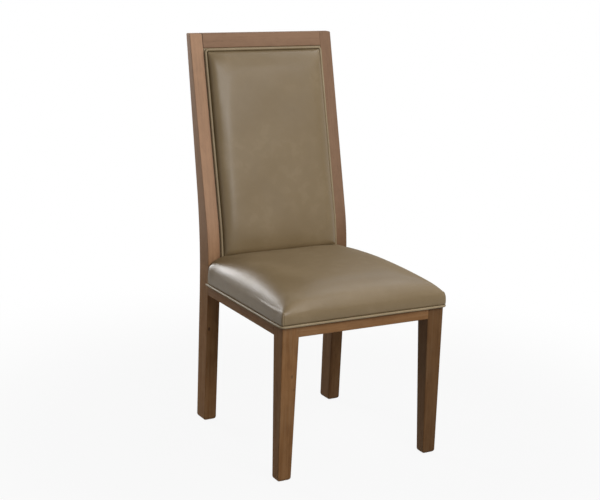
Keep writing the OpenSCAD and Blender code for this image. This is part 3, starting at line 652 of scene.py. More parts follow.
@dataclass(frozen=True)
class ChairSize:
    """Sizes that the dressing shares with the frame."""

    shift: float
    height: float = 1.067
    front_w: float = 0.480
    rear_w: float = 0.442
    seat_run: float = 0.455
    leg: float = 0.047
    post_w: float = 0.037
    post_d: float = 0.0535
    rail_h: float = 0.055
    rail_t: float = 0.020
    board_t: float = 0.012
    apron_z: float = 0.380
    tilt: float = math.radians(1.2)
    rake: float = math.radians(14)
    rear_rake: float = math.radians(11.4)
    bend_r: float = 0.620
    rear_bend_r: float = 1.390
    joint_margin: float = 0.0015
    rear_bend_rise: float = 0.010
    top_rail_h: float = 0.039
    lower_rail_gap: float = 0.009

    @property
    def open_x(self) -> float:
        """Half width between the posts."""
        return self.rear_w / 2 - self.post_w

    @property
    def board_top(self) -> float:
        """Top of the seat board above the underside of the rails."""
        return self.rail_h + self.board_t

    @property
    def joint_top(self) -> float:
        """Height where the posts start to bend."""
        return float(self.seat_z(self.seat_run)) + self.rail_h + self.joint_margin

    @property
    def pad_low(self) -> float:
        """Lower edge of the back opening."""
        ground = float(self.seat_z(self.seat_run + self.post_d))
        return ground + self.board_top + self.lower_rail_gap

    @property
    def pad_high(self) -> float:
        """Upper edge of the back opening."""
        return self.height - self.top_rail_h

    def seat_z(self, y: np.ndarray | float) -> np.ndarray:
        """Height of the rails' underside at a place front to back."""
        return self.apron_z - np.asarray(y, float) * math.tan(self.tilt)

    def half_w(self, y: np.ndarray | float) -> np.ndarray:
        """Half width over the side aprons at a place front to back."""
        narrowing = (self.front_w - self.rear_w) / 2 / (self.seat_run - self.leg)
        return self.front_w / 2 - np.clip(np.asarray(y, float) - self.leg, 0, None) * narrowing

    def post_front(self, z: np.ndarray | float) -> np.ndarray:
        """Front face of the posts above the seat rails."""
        return self.seat_run + bend(z - self.joint_top, self.bend_r, self.rake)

    def post_rear(self, z: np.ndarray | float) -> np.ndarray:
        """Rear face of the posts above the seat rails."""
        start = float(self.seat_z(self.seat_run)) + self.rear_bend_rise
        return self.seat_run + self.post_d + bend(z - start, self.rear_bend_r, self.rear_rake)

    def place(self, points: np.ndarray) -> np.ndarray:
        """Moves points from the chair's own terms into the shared frame."""
        return np.asarray(points, float) + (0.0, self.shift, 0.0)


# Mesh helpers


def new_object(name: str, points: np.ndarray, faces: Sequence[Sequence[int]]) -> bpy.types.Object:
    """Makes a smooth-shaded mesh object.

    Args:
        name: The object's name.
        points: Its vertices, in the shared frame.
        faces: Its faces.

    Returns:
        The object, linked to the scene.
    """
    mesh = bpy.data.meshes.new(name)
    mesh.from_pydata(np.asarray(points).reshape(-1, 3).tolist(), [], faces)
    mesh.validate()
    shade_smooth(mesh)
    obj = bpy.data.objects.new(name, mesh)
    bpy.context.scene.collection.objects.link(obj)
    return obj


def shade_smooth(mesh: bpy.types.Mesh) -> None:
    """Shades every face of a mesh smoothly."""
    mesh.polygons.foreach_set("use_smooth", [True] * len(mesh.polygons))
    mesh.update()


def vertex_rows(mesh: bpy.types.Mesh, what: str = "co") -> np.ndarray:
    """Reads a vector of every vertex of a mesh.

    Args:
        mesh: The mesh.
        what: "co" for the vertices' places and "normal" for their normals.

    Returns:
        A row for each vertex.
    """
    flat = np.empty(len(mesh.vertices) * 3)
    mesh.vertices.foreach_get(what, flat)
    return flat.reshape(-1, 3)


def move_to(mesh: bpy.types.Mesh, points: np.ndarray) -> None:
    """Moves a mesh's vertices to new places."""
    mesh.vertices.foreach_set("co", np.asarray(points, np.float32).ravel())
    mesh.update()


def relax(
    mesh: bpy.types.Mesh, values: np.ndarray, weight: np.ndarray, rounds: int
) -> np.ndarray:
    """Draws each vertex's values towards the mean of its neighbours'.

    Args:
        mesh: The mesh whose edges tell the neighbours.
        values: A row for each vertex.
        weight: How strongly each vertex follows, 0 to 1.
        rounds: Number of passes.

    Returns:
        The smoothed values.
    """
    flat = np.empty(len(mesh.edges) * 2, int)
    mesh.edges.foreach_get("vertices", flat)
    one, two = flat.reshape(-1, 2).T
    ends, others = np.concatenate([one, two]), np.concatenate([two, one])
    degree = np.bincount(ends, minlength=len(values))[:, None]
    pull = 0.5 * np.clip(weight, 0, 1)[:, None]
    for _ in range(rounds):
        total = np.stack(
            [np.bincount(ends, values[others, k], len(values)) for k in range(3)], 1
        )
        values = values + pull * (total / degree - values)
    return values


def wear(obj: bpy.types.Object, material: bpy.types.Material) -> None:
    """Gives an object one material."""
    obj.data.materials.clear()
    obj.data.materials.append(material)


def bake(obj: bpy.types.Object) -> None:
    """Replaces an object's mesh by what its modifiers make of it.

    Args:
        obj: The object, which loses its modifiers.
    """
    graph = bpy.context.evaluated_depsgraph_get()
    old = obj.data
    obj.data = bpy.data.meshes.new_from_object(obj.evaluated_get(graph))
    obj.data.name = old.name
    obj.modifiers.clear()
    bpy.data.meshes.remove(old)


def crowd(steps: int, squeeze: float) -> np.ndarray:
    """Spreads lines from -1 to 1, closer together near both ends.

    Args:
        steps: Number of gaps.
        squeeze: 0 for even gaps, towards 1 for ever finer ones at the ends.

    Returns:
        The places of the lines.
    """
    k = np.linspace(-1, 1, steps + 1)
    return k + squeeze * np.sin(math.pi * k) / math.pi


def round_corners(
    x: np.ndarray, y: np.ndarray, reach: Span, radius: float
) -> tuple[np.ndarray, np.ndarray]:
    """Rounds the corners of a rectangular grid in plan.

    Args:
        x: First coordinates, within plus or minus reach[0].
        y: Second coordinates, within plus or minus reach[1].
        reach: Half sizes of the rectangle.
        radius: Radius of its corners.

    Returns:
        The new coordinates.
    """
    over_x, over_y = np.abs(x) - (reach[0] - radius), np.abs(y) - (reach[1] - radius)
    inside = (over_x > 0) & (over_y > 0)
    longest = np.maximum(over_x, over_y)
    scale = np.where(inside, longest / np.maximum(np.hypot(over_x, over_y), TINY), 1.0)
    new_x = np.where(inside, np.sign(x) * (reach[0] - radius + over_x * scale), x)
    new_y = np.where(inside, np.sign(y) * (reach[1] - radius + over_y * scale), y)
    return new_x, new_y


def rim_of(grid: np.ndarray) -> np.ndarray:
    """Returns the outline of a grid, counter-clockwise from its first corner."""
    return np.concatenate([grid[:, 0], grid[-1, 1:], grid[-2::-1, -1], grid[0, -2:0:-1]])


@dataclass
class Pillow:
    """A closed pad: a face, rings of wall round its edge and a base of the same grid."""

    face: np.ndarray
    walls: list[np.ndarray]
    base: np.ndarray

    def mesh(self, name: str, size: ChairSize) -> bpy.types.Object:
        """Makes the pad's mesh.

        Args:
            name: The object's name.
            size: The chair's sizes, to place the points.

        Returns:
            The object. Its face's vertices come first, then each wall ring, then the base.
        """
        across, down = self.face.shape[0], self.face.shape[1]
        index = np.arange(across * down).reshape(across, down)
        rings = [rim_of(index)]
        count = across * down
        for wall in self.walls:
            rings.append(np.arange(count, count + len(wall)))
            count += len(wall)
        base_index = index + count
        rings.append(rim_of(base_index))
        faces = self._quads(index, False) + self._quads(base_index, True)
        for upper, lower in zip(rings, rings[1:]):
            for a, b, c, d in zip(upper, lower, np.roll(lower, -1), np.roll(upper, -1)):
                faces.append((int(a), int(b), int(c), int(d)))
        points = np.concatenate([self.face.reshape(-1, 3), *self.walls, self.base.reshape(-1, 3)])
        return new_object(name, size.place(points), faces)

    @staticmethod
    def _quads(index: np.ndarray, flipped: bool) -> list[tuple[int, ...]]:
        """Lists the faces of a grid.

        Args:
            index: The number of each of its vertices.
            flipped: Whether the faces look the other way.

        Returns:
            Four numbers for each face.
        """
        corners = (index[:-1, :-1], index[1:, :-1], index[1:, 1:], index[:-1, 1:])
        rows = np.stack([c.ravel() for c in corners], 1)
        return [tuple(map(int, row[::-1] if flipped else row)) for row in rows]


@dataclass(frozen=True)
class Swell:
    """How a pad is blown up by cloth simulation."""

    pressure: float
    cap: float
    frames: int = 20
    stiffness: float = 12.0
    bending: float = 0.6
    mass: float = 0.25
    quality: int = 6
    smoothing: int = 60
    least_hold: float = 0.001

    def begin(self, obj: bpy.types.Object, free: np.ndarray) -> None:
        """Adds the cloth to a pad.

        Args:
            obj: The pad.
            free: How free each vertex is, from 0 for pinned to 1.
        """
        group = obj.vertex_groups.new(name="held")
        held = 1 - np.clip(free, 0, 1)
        for index in np.flatnonzero(held > self.least_hold):
            group.add([int(index)], float(held[index]), "REPLACE")
        cloth = obj.modifiers.new("swell", "CLOTH")
        settings = cloth.settings
        settings.vertex_group_mass = "held"
        settings.quality = self.quality
        settings.mass = self.mass
        settings.tension_stiffness = settings.compression_stiffness = self.stiffness
        settings.bending_stiffness = self.bending
        settings.use_pressure = True
        settings.uniform_pressure_force = self.pressure
        settings.effector_weights.gravity = 0
        cloth.collision_settings.use_collision = False
        cloth.point_cache.frame_end = self.frames

    def end(self, obj: bpy.types.Object) -> float:
        """Keeps the blown-up shape, each point moved no further than the cap.

        Args:
            obj: The pad, with the scene at the last frame.

        Returns:
            The furthest that any point moved.
        """
        start = vertex_rows(obj.data)
        graph = bpy.context.evaluated_depsgraph_get()
        blown = vertex_rows(obj.evaluated_get(graph).to_mesh())
        obj.modifiers.clear()
        obj.vertex_groups.clear()
        free = np.any(blown != start, axis=1).astype(float)
        step = relax(obj.data, blown - start, free, self.smoothing)
        far = np.linalg.norm(step, axis=1, keepdims=True)
        eased = self.cap * np.tanh(far / self.cap)
        move_to(obj.data, start + step * eased / np.maximum(far, TINY))
        return float(far.max())


def run_swell(pads: Sequence[tuple[bpy.types.Object, np.ndarray, Swell]]) -> None:
    """Simulates all pads together and keeps their shapes.

    Args:
        pads: Each pad with the freedom of its vertices and its settings.
    """
    scene = bpy.context.scene
    for obj, free, swell in pads:
        swell.begin(obj, free)
    for frame in range(1, max(swell.frames for _, _, swell in pads) + 1):
        scene.frame_set(frame)
    moved = [swell.end(obj) for obj, _, swell in pads]
    scene.frame_set(1)
    for (obj, _, _), far in zip(pads, moved):
        log.info("%s swelled by up to %.1f mm", obj.name, far / MM)


def subdivide(obj: bpy.types.Object) -> None:
    """Subdivides a pad once and keeps the result.

    Args:
        obj: The pad.
    """
    modifier = obj.modifiers.new("smooth", "SUBSURF")
    modifier.levels = modifier.render_levels = 1
    bake(obj)
    shade_smooth(obj.data)


def tube(
    name: str,
    path: np.ndarray,
    radius: float | np.ndarray,
    sides: int,
    closed: bool,
    axis: Vector,
) -> bpy.types.Object:
    """Sweeps a round cord along a path.

    Args:
        name: The object's name.
        path: Points along its middle, in the shared frame.
        radius: One radius, or one for each point.
        sides: Sides of its section.
        closed: Whether its ends meet.
        axis: A direction that the path stays roughly square to.

    Returns:
        The cord.
    """
    path = np.asarray(path, float)
    count = len(path)
    if closed:
        along = np.roll(path, -1, 0) - np.roll(path, 1, 0)
    else:
        along = np.gradient(path, axis=0)
    along /= np.linalg.norm(along, axis=1, keepdims=True)
    side = np.cross(np.asarray(axis, float), along)
    side /= np.linalg.norm(side, axis=1, keepdims=True)
    other = np.cross(along, side)
    turn = np.arange(sides) * 2 * math.pi / sides
    width = np.broadcast_to(np.asarray(radius, float), (count,))[:, None, None]
    cos, sin = np.cos(turn)[None, :, None], np.sin(turn)[None, :, None]
    points = path[:, None] + width * (cos * side[:, None] + sin * other[:, None])
    faces = []
    for k in range(count if closed else count - 1):
        a, b = k * sides, (k + 1) % count * sides
        for i in range(sides):
            j = (i + 1) % sides
            faces.append((a + i, a + j, b + j, b + i))
    if not closed:
        faces.append(tuple(range(sides))[::-1])
        faces.append(tuple((count - 1) * sides + i for i in range(sides)))
    return new_object(name, points, faces)


def waves(values: np.ndarray, lengths: Sequence[float], seed: float) -> np.ndarray:
    """Adds a few sines into a repeatable, uneven ripple of about unit height.

    Args:
        values: Where to read the ripple.
        lengths: Wavelengths of the sines.
        seed: Shifts their phases.

    Returns:
        The ripple.
    """
    total = sum(np.sin(2 * math.pi * values / w + seed * (i + 1.7)) for i, w in enumerate(lengths))
    return total / len(lengths)


# Upholstery


@dataclass(frozen=True)
class Ridge:
    """A rounded ridge along a line, or a groove where its height is below 0."""

    at: float
    width: float
    height: float

    def across(self, values: np.ndarray) -> np.ndarray:
        """Returns its height at distances from where the line is measured."""
        return self.height * np.exp(-(((values - self.at) / self.width) ** 2))


@dataclass(frozen=True)
class Easing:
    """Where leather is relaxed: near an edge, above the hem and before the posts."""

    near: Span
    above: Span
    before: Span
    rounds: int


@dataclass
class SeatCushion:
    """The leather seat: a crowned cushion with its skirt drawn down over the rails."""

    size: ChairSize
    off: float = 0.0052
    welt_h: float = 0.032
    welt_r: float = 0.0032
    welt_off: float = 0.0056
    wall: float = 0.038
    rise: float = 0.053
    crown_power: float = 8.0
    side_power: float = 0.68
    front_power: float = 1.7
    front_ease: float = 0.24
    front_run: float = 0.240
    rear_fall: float = 0.20
    corner_r: float = 0.007
    bulge: float = 0.0018
    draw: float = 0.0010
    lining: float = 0.0028
    clearance: float = 0.0020
    gap: float = 0.0003
    pad_bite: float = 0.0009
    squeeze: float = 0.66
    draw_power: int = 6
    tuck_run: float = 0.045
    wall_shares: tuple[float, ...] = (0.06, 0.16, 0.3, 0.45, 0.6, 0.75, 0.88, 1.0)
    bulge_arc: float = 0.9
    lip: float = 0.0002
    seat_gap: float = 0.0004
    base_scale: float = 0.99
    held_back: Span = (0.012, 0.050)
    easings: tuple[Easing, ...] = (
        Easing((0.060, 0.020), (0.006, 0.020), (0.015, 0.050), 70),
        Easing((0.150, 0.090), (0.012, 0.030), (0.030, 0.080), 16),
    )
    corner_near: Span = (0.045, 0.012)
    pleat: float = 0.030
    pleat_end: Span = (0.012, -0.004)
    belly: float = 0.0034
    belly_over: float = 0.014
    belly_ends: Span = (0.002, 0.030)
    belly_depth: Span = (0.018, 0.004)
    pleat_lip: Ridge = Ridge(0.0022, 0.0016, 0.0007)
    pleat_groove: Ridge = Ridge(0.0046, 0.0011, -0.0016)
    pleat_top: Span = (0.016, -0.004)
    pleat_foot: Span = (-0.026, -0.020)
    pleat_side: float = 0.012
    gather: float = 0.00035
    gather_h: float = 0.016
    unevenness: float = 0.0011
    welt_waver: float = 0.00022
    welt_swell: float = 0.03
    welt_steps: tuple[int, int, int, int] = (60, 8, 10, 44)
    welt_sides: int = 14
    steps: tuple[int, int] = (86, 80)
    swell: Swell = field(default_factory=lambda: Swell(pressure=4.0, cap=0.005))
    pad_depth: Callable[[np.ndarray, np.ndarray], np.ndarray] = field(default=None)

    @property
    def skin(self) -> int:
        """Number of points of the outer skin, which come first: the face and the wall rings."""
        across, deep = self.steps
        return (across + 1) * (deep + 1) + len(self.wall_shares) * 2 * (across + deep)

    @property
    def hem(self) -> float:
        """Height of the leather's lower edge above the underside of the rails."""
        return self.welt_h + self.welt_r + self.gap

    def crown(self, x: np.ndarray, y: np.ndarray) -> np.ndarray:
        """Height of the cushion above the underside of the rails.

        Args:
            x: Places from side to side.
            y: Places front to back.

        Returns:
            The heights.
        """
        size = self.size
        u = np.clip(np.abs(x) / (size.half_w(y) + self.off), 0, 1)
        v = np.clip((y + self.off) / self.front_run, 0, 1)
        across = np.clip(1 - u**self.crown_power, 0, None) ** self.side_power
        along = np.clip(1 - (1 - v) ** self.front_power, 0, None) ** self.front_ease
        behind = np.clip((y - self.front_run) / (size.seat_run - self.front_run), 0, None)
        return self.welt_h + self.wall + self.rise * across * along * (
            1 - self.rear_fall * behind**2
        )

    def back_edge(self, x: np.ndarray) -> np.ndarray:
        """Lays out the rear edge of the cushion, against the posts and the back pad.

        Args:
            x: Places from side to side.

        Returns:
            The edge's places front to back.
        """
        size = self.size
        top = self.welt_h + self.wall + self.rise * (1 - self.rear_fall)
        z = float(size.seat_z(size.seat_run)) + top
        hollow = size.post_front(z) + self.pad_depth(x, np.full_like(x, z)) - self.pad_bite
        return np.minimum(size.seat_run - self.gap, hollow)

    def plan(self, inset: float) -> tuple[np.ndarray, np.ndarray]:
        """Lays out the cushion's grid.

        Args:
            inset: How far its edge is drawn in from the leather's outer face.

        Returns:
            The x and y of each point.
        """
        size = self.size
        s, t = np.meshgrid(
            crowd(self.steps[0], self.squeeze), crowd(self.steps[1], self.squeeze), indexing="ij"
        )
        half, length = size.front_w / 2 + self.off - inset, (size.seat_run + self.off) / 2
        x, v = round_corners(s * half, t * length, (half, length), self.corner_r)
        v = (v / length + 1) / 2
        front = -self.off + inset + self.draw * np.cos(math.pi / 2 * x / half)
        back = self.back_edge(x * (size.rear_w / size.front_w)) - inset
        y = front + (back - front) * v
        narrow = (size.half_w(y) + self.off - inset) / half
        x = x * narrow
        x = x - np.sign(x) * self.draw * np.sin(math.pi * v) * np.abs(s) ** self.draw_power
        return x, y

    def pillow(self) -> Pillow:
        """Shapes the cushion before it is blown up.

        Returns:
            Its face, walls and base.
        """
        size = self.size
        x, y = self.plan(0.0)
        face = np.stack([x, y, size.seat_z(y) + self.crown(x, y)], -1)
        rim = rim_of(face)
        inner_x, inner_y = self.plan(self.lining)
        inner = rim_of(np.stack([inner_x, inner_y, inner_x], -1))
        tucked = rim[:, 1] > size.seat_run - self.tuck_run
        tucked &= np.abs(rim[:, 0]) < size.rear_w / 2 - MM
        ground = size.seat_z(rim[:, 1])
        top = rim[:, 2] - ground
        low = np.where(tucked, size.board_top + self.gap, self.hem)
        out = rim[:, :2] - inner[:, :2]
        out /= np.maximum(np.linalg.norm(out, axis=1, keepdims=True), TINY)
        out[tucked] = 0.0
        walls = []
        for share in self.wall_shares:
            spot = rim[:, :2] + out * self.bulge * math.sin(math.pi * self.bulge_arc * share)
            walls.append(np.column_stack([spot, ground + top + (low - top) * share]))
        inner_ground = size.seat_z(inner[:, 1])
        walls.append(np.column_stack([inner[:, :2], inner_ground + low + self.lip]))
        seat_level = size.board_top + self.seat_gap
        walls.append(np.column_stack([inner[:, :2], inner_ground + np.maximum(low, seat_level)]))
        middle = size.seat_run / 2
        base_x, base_y = inner_x * self.base_scale, middle + (inner_y - middle) * self.base_scale
        base = np.stack([base_x, base_y, size.seat_z(base_y) + seat_level], -1)
        return Pillow(face, walls, base)

    def build(self) -> tuple[bpy.types.Object, np.ndarray, Swell]:
        """Makes the cushion, ready to be blown up.

        Returns:
            The object, the freedom of its vertices and its swell settings.
        """
        pillow = self.pillow()
        obj = pillow.mesh("seat_cushion", self.size)
        free = np.zeros(len(obj.data.vertices))
        count = pillow.face.shape[0] * pillow.face.shape[1]
        free[:count] = 1
        rings = len(self.wall_shares)
        for number, wall in enumerate(pillow.walls[: rings - 1], 1):
            free[count : count + len(wall)] = 1 - number / rings
            count += len(wall)
        _, _, from_posts, _ = self.places(vertex_rows(obj.data))
        return obj, free * smooth_step(from_posts, *self.held_back), self.swell

    def places(self, points: np.ndarray) -> tuple[np.ndarray, ...]:
        """Measures points from the cushion's own edges.

        Args:
            points: Points of the cushion, in the shared frame.

        Returns:
            How far each lies in from the side and from the front, before the posts and above
            the hem.
        """
        size = self.size
        x, y = points[:, 0], points[:, 1] - size.shift
        above = points[:, 2] - size.seat_z(y) - self.hem
        return size.half_w(y) + self.off - np.abs(x), y + self.off, size.seat_run - y, above

    def soften(self, obj: bpy.types.Object) -> None:
        """Rounds the shoulders, but keeps the sewn corners sharp below their pleats' tops.

        Args:
            obj: The blown-up cushion.
        """
        eased = vertex_rows(obj.data)
        from_side, from_front, from_posts, above = self.places(eased)
        corner = smooth_step(np.hypot(from_side, from_front), *self.corner_near)
        corner *= smooth_step(above - self.pleat, *self.pleat_end)
        for easing in self.easings:
            weight = smooth_step(np.minimum(from_side, from_front), *easing.near) * (1 - corner)
            weight *= smooth_step(above, *easing.above)
            weight *= smooth_step(from_posts, *easing.before)
            weight[self.skin :] = 0
            eased = relax(obj.data, eased, weight, easing.rounds)
        eased[: self.skin] = self.clear_of_board(eased[: self.skin])
        eased[: self.skin, 1] -= self.fullness(eased[: self.skin])
        move_to(obj.data, eased)

    def fullness(self, points: np.ndarray) -> np.ndarray:
        """Works out how far the filling pushes the front wall forward above its hem.

        Args:
            points: The outer skin's points, in the shared frame.

        Returns:
            The push at each point, nothing at the ends and behind the wall.
        """
        from_side, from_front, _, above = self.places(points)
        rise = above / (self.wall + self.belly_over)
        arch = self.belly * np.sin(math.pi * np.clip(rise, 0, 1))
        arch *= smooth_step(from_side, *self.belly_ends)
        return arch * smooth_step(from_front, *self.belly_depth)

    def clear_of_board(self, points: np.ndarray) -> np.ndarray:
        """Keeps the leather outside the board and the rails that it is drawn over.

        Args:
            points: The outer skin's points, in the shared frame.

        Returns:
            The points, with those that were too deep moved out the shortest way.
        """
        size = self.size
        x, y = points[:, 0], points[:, 1] - size.shift
        depths = np.stack(
            [
                size.half_w(y) + self.clearance - np.abs(x),
                y + self.clearance,
                size.seat_z(y) + size.board_top + self.clearance - points[:, 2],
            ]
        )
        deep = (depths.min(0) > 0) & (y < size.seat_run - self.held_back[1])
        ways = np.stack([np.sign(x), -np.ones_like(x), np.ones_like(x)])
        nearest = depths.argmin(0)
        moved = points.copy()
        for axis in range(3):
            chosen = deep & (nearest == axis)
            moved[chosen, axis] += (ways * depths)[axis, chosen]
        return moved

    def sculpt(self, obj: bpy.types.Object) -> None:
        """Works the pleats, the gathers and the unevenness into the blown-up leather.

        Args:
            obj: The softened cushion.
        """
        size = self.size
        points, outward = vertex_rows(obj.data), vertex_rows(obj.data, "normal")
        x, y = points[:, 0], points[:, 1] - size.shift
        h = points[:, 2] - size.seat_z(y)
        wall = smooth_step(h - self.welt_h - self.wall, *self.pleat_top)
        wall *= smooth_step(h - size.rail_h, *self.pleat_foot)
        front = smooth_step(-outward[:, 1], 0.6, 0.95) * smooth_step(y, 0.02, 0.0)
        from_end = size.front_w / 2 + self.off - np.abs(x)
        pleat = self.pleat_lip.across(from_end) + self.pleat_groove.across(from_end)
        shift = front * wall * pleat
        gather = smooth_step(h - self.hem, self.gather_h, 0.0) * (h > self.hem - 2 * MM)
        along = np.where(from_end < self.pleat_side, y, x)
        shift = shift + gather * waves(along, (0.047, 0.031, 0.071), 2.0) * self.gather
        top = smooth_step(outward[:, 2], 0.5, 0.95)
        uneven = waves(x + 0.4 * y, (0.19, 0.13, 0.31), 0.6) * waves(y - 0.3 * x, (0.23, 0.16), 1.9)
        shift = shift + top * uneven * self.unevenness
        move_to(obj.data, points + outward * shift[:, None])

    def welt(self) -> bpy.types.Object:
        """Makes the piping under the hem, from post to post round the front.

        Returns:
            The piping.
        """
        size = self.size
        off, radius = self.welt_off, self.corner_r + self.welt_off
        x0, reach = size.front_w / 2 + off, radius - off
        side, leg, turn, front = self.welt_steps
        side_y = np.linspace(size.seat_run - self.gap, size.leg, side)
        left = [(-float(size.half_w(y)) - off, float(y)) for y in side_y]
        left += [(-x0, float(y)) for y in np.linspace(size.leg, reach, leg)[1:-1]]
        corner = [
            (-x0 + radius + radius * math.cos(angle), reach + radius * math.sin(angle))
            for angle in np.linspace(math.pi, 1.5 * math.pi, turn)
        ]
        ahead = [(float(x), -off) for x in np.linspace(radius - x0, 0, front)[1:]]
        half = np.array(left + corner + ahead)
        plan = np.concatenate([half, (half * (-1, 1))[-2::-1]])
        run = np.concatenate([[0], np.cumsum(np.linalg.norm(np.diff(plan, axis=0), axis=1))])
        height = self.welt_h + waves(run, (0.083, 0.137, 0.211), 0.9) * self.welt_waver
        path = np.column_stack([plan, size.seat_z(plan[:, 1]) + height])
        radii = self.welt_r * (1 + self.welt_swell * waves(run, (0.019, 0.043, 0.067), 3.1))
        up = Vector((0, 0, 1))
        return tube("seat_piping", size.place(path), radii, self.welt_sides, False, up)


@dataclass
class FramePanel:
    """A panel in the opening of the back frame, with piping between it and the frame."""

    size: ChairSize
    welt_r: float
    steps: tuple[int, int]
    corner_r: float = 0.005
    gap: float = 0.0003
    squeeze: float = 0.6
    welt_swell: float = 0.025
    welt_sides: int = 12
    seam_w: float = 1.8
    seam_t: float = 0.12 * MM
    seam_corner: float = 0.5 * MM
    turn_steps: int = 9
    edge_steps: tuple[int, int] = (40, 64)

    @property
    def opening(self) -> Span:
        """Half width and half height of the back frame's opening."""
        return self.size.open_x, (self.size.pad_high - self.size.pad_low) / 2

    @property
    def half(self) -> Span:
        """Half width and half height of the panel inside its piping."""
        inset = 2 * self.welt_r + 3 * self.gap
        return self.opening[0] - inset, self.opening[1] - inset

    @property
    def middle(self) -> float:
        """Height of the opening's middle."""
        return (self.size.pad_low + self.size.pad_high) / 2

    def grid(self, inset: float, way: int = 1) -> tuple[np.ndarray, np.ndarray]:
        """Lays out the panel's grid.

        Args:
            inset: How far its edge is drawn in.
            way: 1 for a face towards the front and -1 for one towards the rear.

        Returns:
            The x and z of each point.
        """
        half_x, half_z = self.half[0] - inset, self.half[1] - inset
        across, up = (crowd(count, self.squeeze) for count in self.steps)
        s, t = np.meshgrid(way * across, up, indexing="ij")
        x, z = round_corners(s * half_x, t * half_z, (half_x, half_z), self.corner_r)
        return x, z + self.middle

    def outline(self, inset: float, corner: float) -> np.ndarray:
        """Lays out a closed line round the inside of the back frame.

        Args:
            inset: The line in from the frame.
            corner: Radius of its corners.

        Returns:
            Its points' places across and their heights.
        """
        half = (self.opening[0] - inset, self.opening[1] - inset)
        plan: list[tuple[float, float]] = []
        for number, (sx, sz) in enumerate(((-1, -1), (1, -1), (1, 1), (-1, 1))):
            start = math.pi * (1 + number / 2)
            cx, cz = sx * (half[0] - corner), sz * (half[1] - corner)
            for angle in np.linspace(start, start + math.pi / 2, self.turn_steps):
                plan.append((cx + corner * math.cos(angle), cz + corner * math.sin(angle)))
            length = 2 * (half[number % 2] - corner)
            steps = self.edge_steps[number % 2]
            dx, dz = ((1, 0), (0, 1), (-1, 0), (0, -1))[number]
            x, z = plan[-1]
            for k in range(1, steps):
                plan.append((x + dx * length * k / steps, z + dz * length * k / steps))
        return np.array(plan) + (0.0, self.middle)

    def piping(self, name: str, depth: Callable[[np.ndarray], np.ndarray]) -> bpy.types.Object:
        """Runs a closed cord round the inside of the back frame.

        Args:
            name: The object's name.
            depth: Its middle's place front to back at a height.

        Returns:
            The cord.
        """
        plan = self.outline(self.welt_r + self.gap, self.corner_r + self.welt_r)
        run = np.cumsum(np.linalg.norm(plan - np.roll(plan, 1, 0), axis=1))
        path = np.column_stack([plan[:, 0], depth(plan[:, 1]), plan[:, 1]])
        radii = self.welt_r * (1 + self.welt_swell * waves(run, (0.023, 0.041, 0.071), 2.2))
        axis = Vector((0, 1, 0))
        return tube(name, self.size.place(path), radii, self.welt_sides, True, axis)

    def seam(self, name: str, depth: Callable[[np.ndarray], np.ndarray]) -> bpy.types.Object:
        """Makes the flat seam edge of the piping, which fills the corners behind it.

        Args:
            name: The object's name.
            depth: Its front face's place front to back at a height.

        Returns:
            The seam edge.
        """
        outer, inner = self.gap, self.gap + self.seam_w * self.welt_r
        rings = []
        for inset, back in ((outer, 0.0), (inner, 0.0), (inner, self.seam_t), (outer, self.seam_t)):
            plan = self.outline(inset, self.seam_corner)
            rings.append(np.column_stack([plan[:, 0], depth(plan[:, 1]) + back, plan[:, 1]]))
        count = len(rings[0])
        faces = []
        for k in range(4):
            a, b = k * count, (k + 1) % 4 * count
            for i in range(count):
                j = (i + 1) % count
                faces.append((a + i, b + i, b + j, a + j))
        return new_object(name, self.size.place(np.concatenate(rings)), faces)


